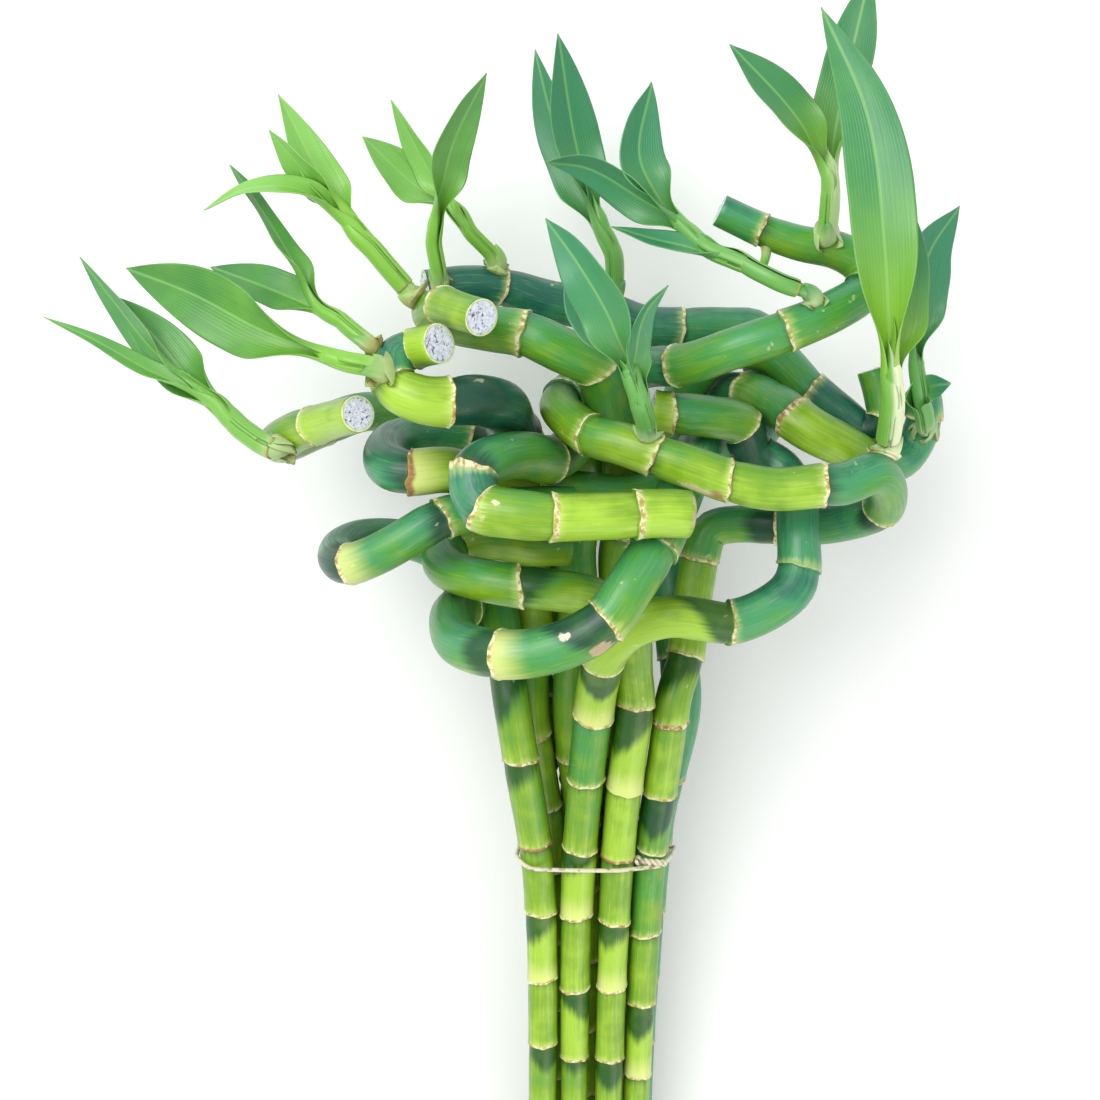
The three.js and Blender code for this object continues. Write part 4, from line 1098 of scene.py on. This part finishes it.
class Nodes:
    """Short names for adding and joining the nodes of one tree."""

    def __init__(self, tree):
        self.tree = tree

    def add(self, kind, inputs=None, **settings):
        node = self.tree.nodes.new(kind)
        for key, value in settings.items():
            setattr(node, key, value)
        for key, value in (inputs or {}).items():
            self.put(node.inputs[key], value)
        return node

    def signal(self, kind, output, inputs=None, **settings):
        return Signal(self, self.add(kind, inputs, **settings).outputs[output])

    def put(self, socket, value):
        if isinstance(value, Signal):
            self.tree.links.new(value.socket, socket)
        else:
            socket.default_value = value

    def math(self, operation, *values):
        return self.signal("ShaderNodeMath", 0, dict(enumerate(values)), operation=operation)

    def number(self, name):
        return self.signal("ShaderNodeAttribute", "Fac", attribute_name=name)

    def straight(self):
        """Where a point lies on its piece, unrolled onto a straight axis."""
        return self.signal("ShaderNodeAttribute", "Vector", attribute_name="straight")

    def blend(self, share, a, b):
        return self.signal("ShaderNodeMix", "Result", {"Factor": share, "A": a, "B": b}, data_type="RGBA")

    def layers(self, colour, layers):
        """A colour under layers, each a mask and the tone that it lays over what is below."""
        for mask, tone in layers:
            colour = self.blend(mask, colour, tone)
        return colour

    def noise(self, vector, scale, detail=3.0, rough=0.5):
        inputs = {"Vector": vector, "Scale": scale, "Detail": detail, "Roughness": rough}
        return self.signal("ShaderNodeTexNoise", "Fac", inputs)

    def ramp(self, value, colours):
        """Evenly spaced colours over values from 0 to 1."""
        node = self.add("ShaderNodeValToRGB", {"Fac": value})
        stops = node.color_ramp.elements
        stops[0].color, stops[1].color = colours[0], colours[-1]
        for index, colour in enumerate(colours[1:-1], 1):
            stops.new(index / (len(colours) - 1)).color = colour
        return Signal(self, node.outputs["Color"])

    def fibre(self, vector, across, along):
        inputs = {"Vector": vector, "Across": across, "Along": along}
        return self.signal("ShaderNodeGroup", "Fibre", inputs, node_tree=fibre_group)

    def specks(self, vector, scale, level):
        inputs = {"Vector": vector, "Scale": scale, "Level": level}
        return self.signal("ShaderNodeGroup", "Mask", inputs, node_tree=speck_group)


def new_group(name, output, **inputs):
    """A node group that takes a vector and numbers and puts out one number."""
    group = bpy.data.node_groups.new(name, "ShaderNodeTree")
    group.interface.new_socket(name="Vector", in_out="INPUT", socket_type="NodeSocketVector")
    for label, value in inputs.items():
        socket = group.interface.new_socket(name=label, in_out="INPUT", socket_type="NodeSocketFloat")
        socket.default_value = value
    group.interface.new_socket(name=output, in_out="OUTPUT", socket_type="NodeSocketFloat")
    nodes = Nodes(group)
    given = nodes.add("NodeGroupInput").outputs
    out = nodes.add("NodeGroupOutput").inputs[output]
    return group, nodes, out, [Signal(nodes, given[label]) for label in ("Vector", *inputs)]


def make_fibre_group():
    """Fine lines that run along a stem or a blade: noise that is far longer than it is wide."""
    group, nodes, out, (vector, across, along) = new_group("Fibre lines", "Fibre", Across=1.0, Along=0.05)
    stretch = nodes.signal("ShaderNodeCombineXYZ", 0, {"X": across, "Y": across, "Z": along})
    stretched = nodes.signal("ShaderNodeVectorMath", 0, {0: vector, 1: stretch}, operation="MULTIPLY")
    nodes.put(out, nodes.noise(stretched, 1.0, 3.0, 0.6))
    return group


def make_speck_group():
    """Scattered small marks: the peaks of a noise, cut off at a level set by how many there are."""
    group, nodes, out, (vector, scale, level) = new_group("Specks", "Mask", Scale=0.6, Level=0.7)
    nodes.put(out, (nodes.noise(vector, scale, 2.0) - level).between(0.0, 0.04))
    return group


def finish_material(name, surface, **settings):
    """A material whose surface gives its colour, its roughness, and a bump's height, strength and depth."""
    material = bpy.data.materials.new(name)
    material.use_nodes = True
    nodes = Nodes(material.node_tree)
    shader = material.node_tree.nodes["Principled BSDF"].inputs
    for key, value in settings.items():
        shader[key.replace("_", " ")].default_value = value
    colour, rough, *bump = surface(nodes)
    nodes.put(shader["Base Color"], colour)
    nodes.put(shader["Roughness"], rough)
    if bump:
        inputs = dict(zip(("Height", "Strength", "Distance"), bump))
        nodes.put(shader["Normal"], nodes.signal("ShaderNodeBump", "Normal", inputs))
    return material


def skin_surface(nodes):
    """Cane skin: each internode's tone, pale at its foot and dark under the next ring's pale rim, partly as
    painted shadow, with painted light and shade set by which way the skin faces.
    """
    straight, above, below = nodes.straight(), nodes.number("above"), nodes.number("below")
    strength, foot = nodes.number("rim_strength"), nodes.number("foot_reach")
    fibre, fine = nodes.fibre(straight, 1.1, 0.05), nodes.fibre(straight, 3.2, 0.12)
    blotch, broken = nodes.noise(straight, 0.13, 2.0), nodes.noise(straight, 0.7, 3.0, 0.6)

    tone = above / (above + below) * 0.5 + (nodes.number("tone") - 0.25)
    tone = (blotch - 0.5) * 2.4 + tone
    tone = (fibre - 0.5) * 1.6 + tone
    # Painted light: skin facing the crown is painted cooler, as a painted sky reflection, and skin facing the
    # foot is painted limer, as a painted sunlit side.
    tone = nodes.number("crownward") * 0.55 + tone
    tone = (nodes.number("chance") - 0.5) * 0.5 + tone
    ragged = fibre * 4.0 - 2.0
    pale = (above + ragged).between(foot, foot * 0.1) * foot.between(SMALL_FOOT, LARGE_FOOT, 0.4, 0.78)
    # The dark band under each ring is partly the skin's own darker tone and partly painted shadow cast by the
    # ring's rim and by the crown above.
    band_tone_and_shade = (ragged + nodes.number("band")).between(-1.4, 3.4) * blotch.between(0.3, 0.6, 0.84, 0.98)
    dark_tone = nodes.blend(tone.between(1.2, 3.0), DEEP_GREEN, DARK_TEAL)
    # An olive line just under each ring: partly the skin's own tone, partly painted shadow in the crease
    # under the ring's rim.
    under = below.between(broken * 1.4 + 0.1, 0.0) * (strength * 0.5)
    width = nodes.number("rim_width")
    rim = above.between(width, width * 0.45) * strength
    browner = (broken + nodes.number("rim_brown") * 0.4).between(0.56, 0.82)
    rim_tone = nodes.blend(browner, nodes.blend(broken.between(0.4, 0.6), CREAM, RING_TAN), DRY_BROWN)
    scar = (nodes.number("scar") + (broken - 0.5)).between(0.35, 0.65) * 0.85
    # The tone ramp's cool green and teal stand partly for painted shade and a painted bluish sheen.
    colour = nodes.layers(nodes.ramp(tone / 4.0, [LEMON, LIME, GREEN, COOL_GREEN, TEAL]), [
        (fine.between(0.5, 0.3, 0.0, 0.14), DEEP_GREEN),
        (fine.between(0.55, 0.75, 0.0, 0.16), PALE_FOOT),
        (pale, PALE_FOOT),
        (band_tone_and_shade, dark_tone),
        # Painted shade: flanks and underside are darkened towards the dark tone the further the skin faces
        # away from straight up.
        (nodes.number("upward").between(0.85, -0.3, 0.0, 0.6), dark_tone),
        (under, OLIVE),
        (rim * broken.between(0.3, 0.45, 0.6, 0.95), rim_tone),
        (nodes.specks(straight, 0.32, 0.73) * 0.3, CREAM),
        (scar, nodes.blend(nodes.number("scar_brown"), CREAM, DRY_BROWN)),
        (nodes.specks(straight, 1.1, 0.74) * 0.5, DRY_BROWN),
    ])
    rough = rim * 0.25 + fibre.between(0.3, 0.7, 0.28, 0.42)
    return colour, rough, rim * broken * 1.2 + (fine * 0.5 + fibre * 0.6), 0.5, 0.00025


def pith_surface(nodes):
    """A cut end: pale fibrous pith with dark strands, a green rim and a pale edge."""
    straight, share = nodes.straight(), nodes.number("share")
    patchy, grain = nodes.noise(straight, 0.6), nodes.noise(straight, 1.0, 3.0, 0.65)
    colour = nodes.layers(PITH_WHITE, [
        (nodes.noise(straight, 1.3, 4.0, 0.7).between(0.46, 0.66, 0.0, 0.55), PITH_GREY),
        (grain.between(0.56, 0.63) * 0.85, PITH_SPECK),
        (share.between(0.82, 0.9, 0.0, 0.75), PITH_RIM),
        (share.between(0.93, 0.97), CREAM),
    ])
    return colour, patchy.between(0.3, 0.7, 0.6, 0.85), grain + patchy, 0.6, 0.0003


def leaf_surface(nodes):
    """Blades with fine parallel veins and a pale rib, and pale sheaths with a dry edge at their foot."""
    straight, across, leaf = nodes.straight(), nodes.number("across"), nodes.number("leaf")
    cool, sheath, rise = nodes.number("cool"), nodes.number("sheath"), nodes.number("rise")
    light, flank, along = nodes.number("light"), nodes.number("flank"), nodes.number("along")
    fibre, blotch = nodes.fibre(straight, 1.6, 0.04), nodes.noise(straight, 0.07, 2.0)
    side = nodes.math("ABSOLUTE", across)
    flat = nodes.math("SUBTRACT", 1.0, sheath) * leaf
    deeper = blotch * 0.9 + (nodes.number("chance") * 0.5 - 0.35) + along * 0.2 - light * 0.6
    cool_sheath = nodes.blend(cool * 0.45, SHEATH_LIME, LEAF_COOL)
    veins = nodes.math("SINE", side * 62.0).between(-0.2, 1.0) * flat
    colour = nodes.layers(LEAF_GREEN, [
        (deeper.between(0.0, 0.7), LEAF_DEEP),
        (cool * 0.8, LEAF_COOL),
        (light.between(0.0, 1.0, 0.0, 0.45), RIB_PALE),
        (along.between(0.62, 0.0) * leaf * (flank * 0.65 + 0.2), LEAF_NECK),
        (sheath * 0.85, nodes.blend(rise.between(7.0, 1.0, 0.0, 0.6), cool_sheath, SHEATH_WHITE)),
        (flank * nodes.number("rightward").between(-0.4, 0.3) * (sheath * 0.95), SHEATH_WHITE),
        (veins * 0.06, RIB_PALE),
        ((side * nodes.number("width") * 0.5).between(0.6, 0.1) * flat * 0.32, RIB_PALE),
        (side.between(0.94, 0.99) * leaf * 0.3, RIB_PALE),
        (fibre.between(0.5, 0.75, 0.0, 0.22), LEAF_DEEP),
        (nodes.number("since").between(0.8, 0.2) * leaf * 0.7, RING_TAN),
        (rise.between(5.0, 0.8) * nodes.number("brown") * 0.8, STEM_OLIVE),
        (nodes.specks(straight, 0.5, 0.75) * 0.35, OLIVE),
    ])
    return colour, fibre.between(0.3, 0.7, 0.3, 0.48), veins * 0.4 + fibre * 0.5, 0.4, 0.0002


def wire_surface(nodes):
    """Wire with a pale coat that is worn darker in places."""
    straight = nodes.straight()
    worn, fine = nodes.noise(straight, 0.5), nodes.noise(straight, 3.0, 2.0)
    colour = nodes.blend(worn.between(0.5, 0.68), WIRE_TAN, WIRE_WORN)
    return colour, worn.between(0.3, 0.7, 0.4, 0.65), fine, 0.3, 0.0001


def floor_surface(nodes):
    """A plain pale floor with a fine grain."""
    grain = nodes.noise(nodes.signal("ShaderNodeTexCoord", "Object"), 400.0, 2.0)
    return FLOOR_WHITE, grain.between(0.3, 0.7, 0.7, 0.9)


# Studio

def add_camera():
    """The camera looks down on the bunch, leaning back from the crown, at the photograph's angle."""
    data = bpy.data.cameras.new("camera")
    data.sensor_width = SENSOR
    data.lens = SENSOR * PHOTO_FOCAL_PIXELS / PHOTO_SIZE
    data.clip_start, data.clip_end = 0.05, 20.0
    camera = put_in_scene("camera", data)
    camera.location = EYE * MM
    camera.rotation_euler = (-CAMERA_TILT, 0.0, 0.0)
    bpy.context.scene.camera = camera


def add_light(name, place, size, power, colour):
    data = bpy.data.lights.new(name, "AREA")
    data.shape, data.size, data.energy, data.color = "DISK", size, power, colour
    light = put_in_scene(name, data)
    light.location = place
    light.rotation_euler = (Vector(CAMERA_AIM * MM) - Vector(place)).to_track_quat("-Z", "Y").to_euler()


def add_studio():
    world = bpy.data.worlds.new("studio")
    world.use_nodes = True
    background = world.node_tree.nodes["Background"].inputs
    for key, value in SURROUNDINGS.items():
        background[key].default_value = value
    bpy.context.scene.world = world
    bpy.context.scene.view_settings.view_transform = "Standard"
    for name, facts in LIGHTS.items():
        add_light(name, *facts)
    corners = [(x * FLOOR_HALF, y * FLOOR_HALF, 0) for x, y in ((-1, -1), (1, -1), (1, 1), (-1, 1))]
    floor = bpy.data.meshes.new("floor")
    floor.from_pydata(corners, [], [(0, 1, 2, 3)])
    floor.materials.append(finish_material("Pale floor", floor_surface, Specular_IOR_Level=0.15))
    put_in_scene("floor", floor)


# The bunch

fibre_group = make_fibre_group()
speck_group = make_speck_group()
skin_material = finish_material("Cane skin", skin_surface, Coat_Weight=0.12, Coat_Roughness=0.3)
pith_material = finish_material("Cut pith", pith_surface, Specular_IOR_Level=0.3)
leaf_material = finish_material("Leaf", leaf_surface, Coat_Weight=0.2, Coat_Roughness=0.28)
wire_material = finish_material("Coated wire", wire_surface, Specular_IOR_Level=0.4)

canes = {name: Cane(name, facts) for name, facts in CANES.items()}
ease_apart(canes.values())
for number, cane in enumerate(canes.values()):
    cane.route = Route(cane.line, cane.length)
    build_cane(cane, number)
for number, (name, shoot) in enumerate(SHOOTS.items()):
    build_shoot(name, shoot, canes[shoot["cane"]], number)
build_twig()
build_tie(canes.values())

add_camera()
add_studio()
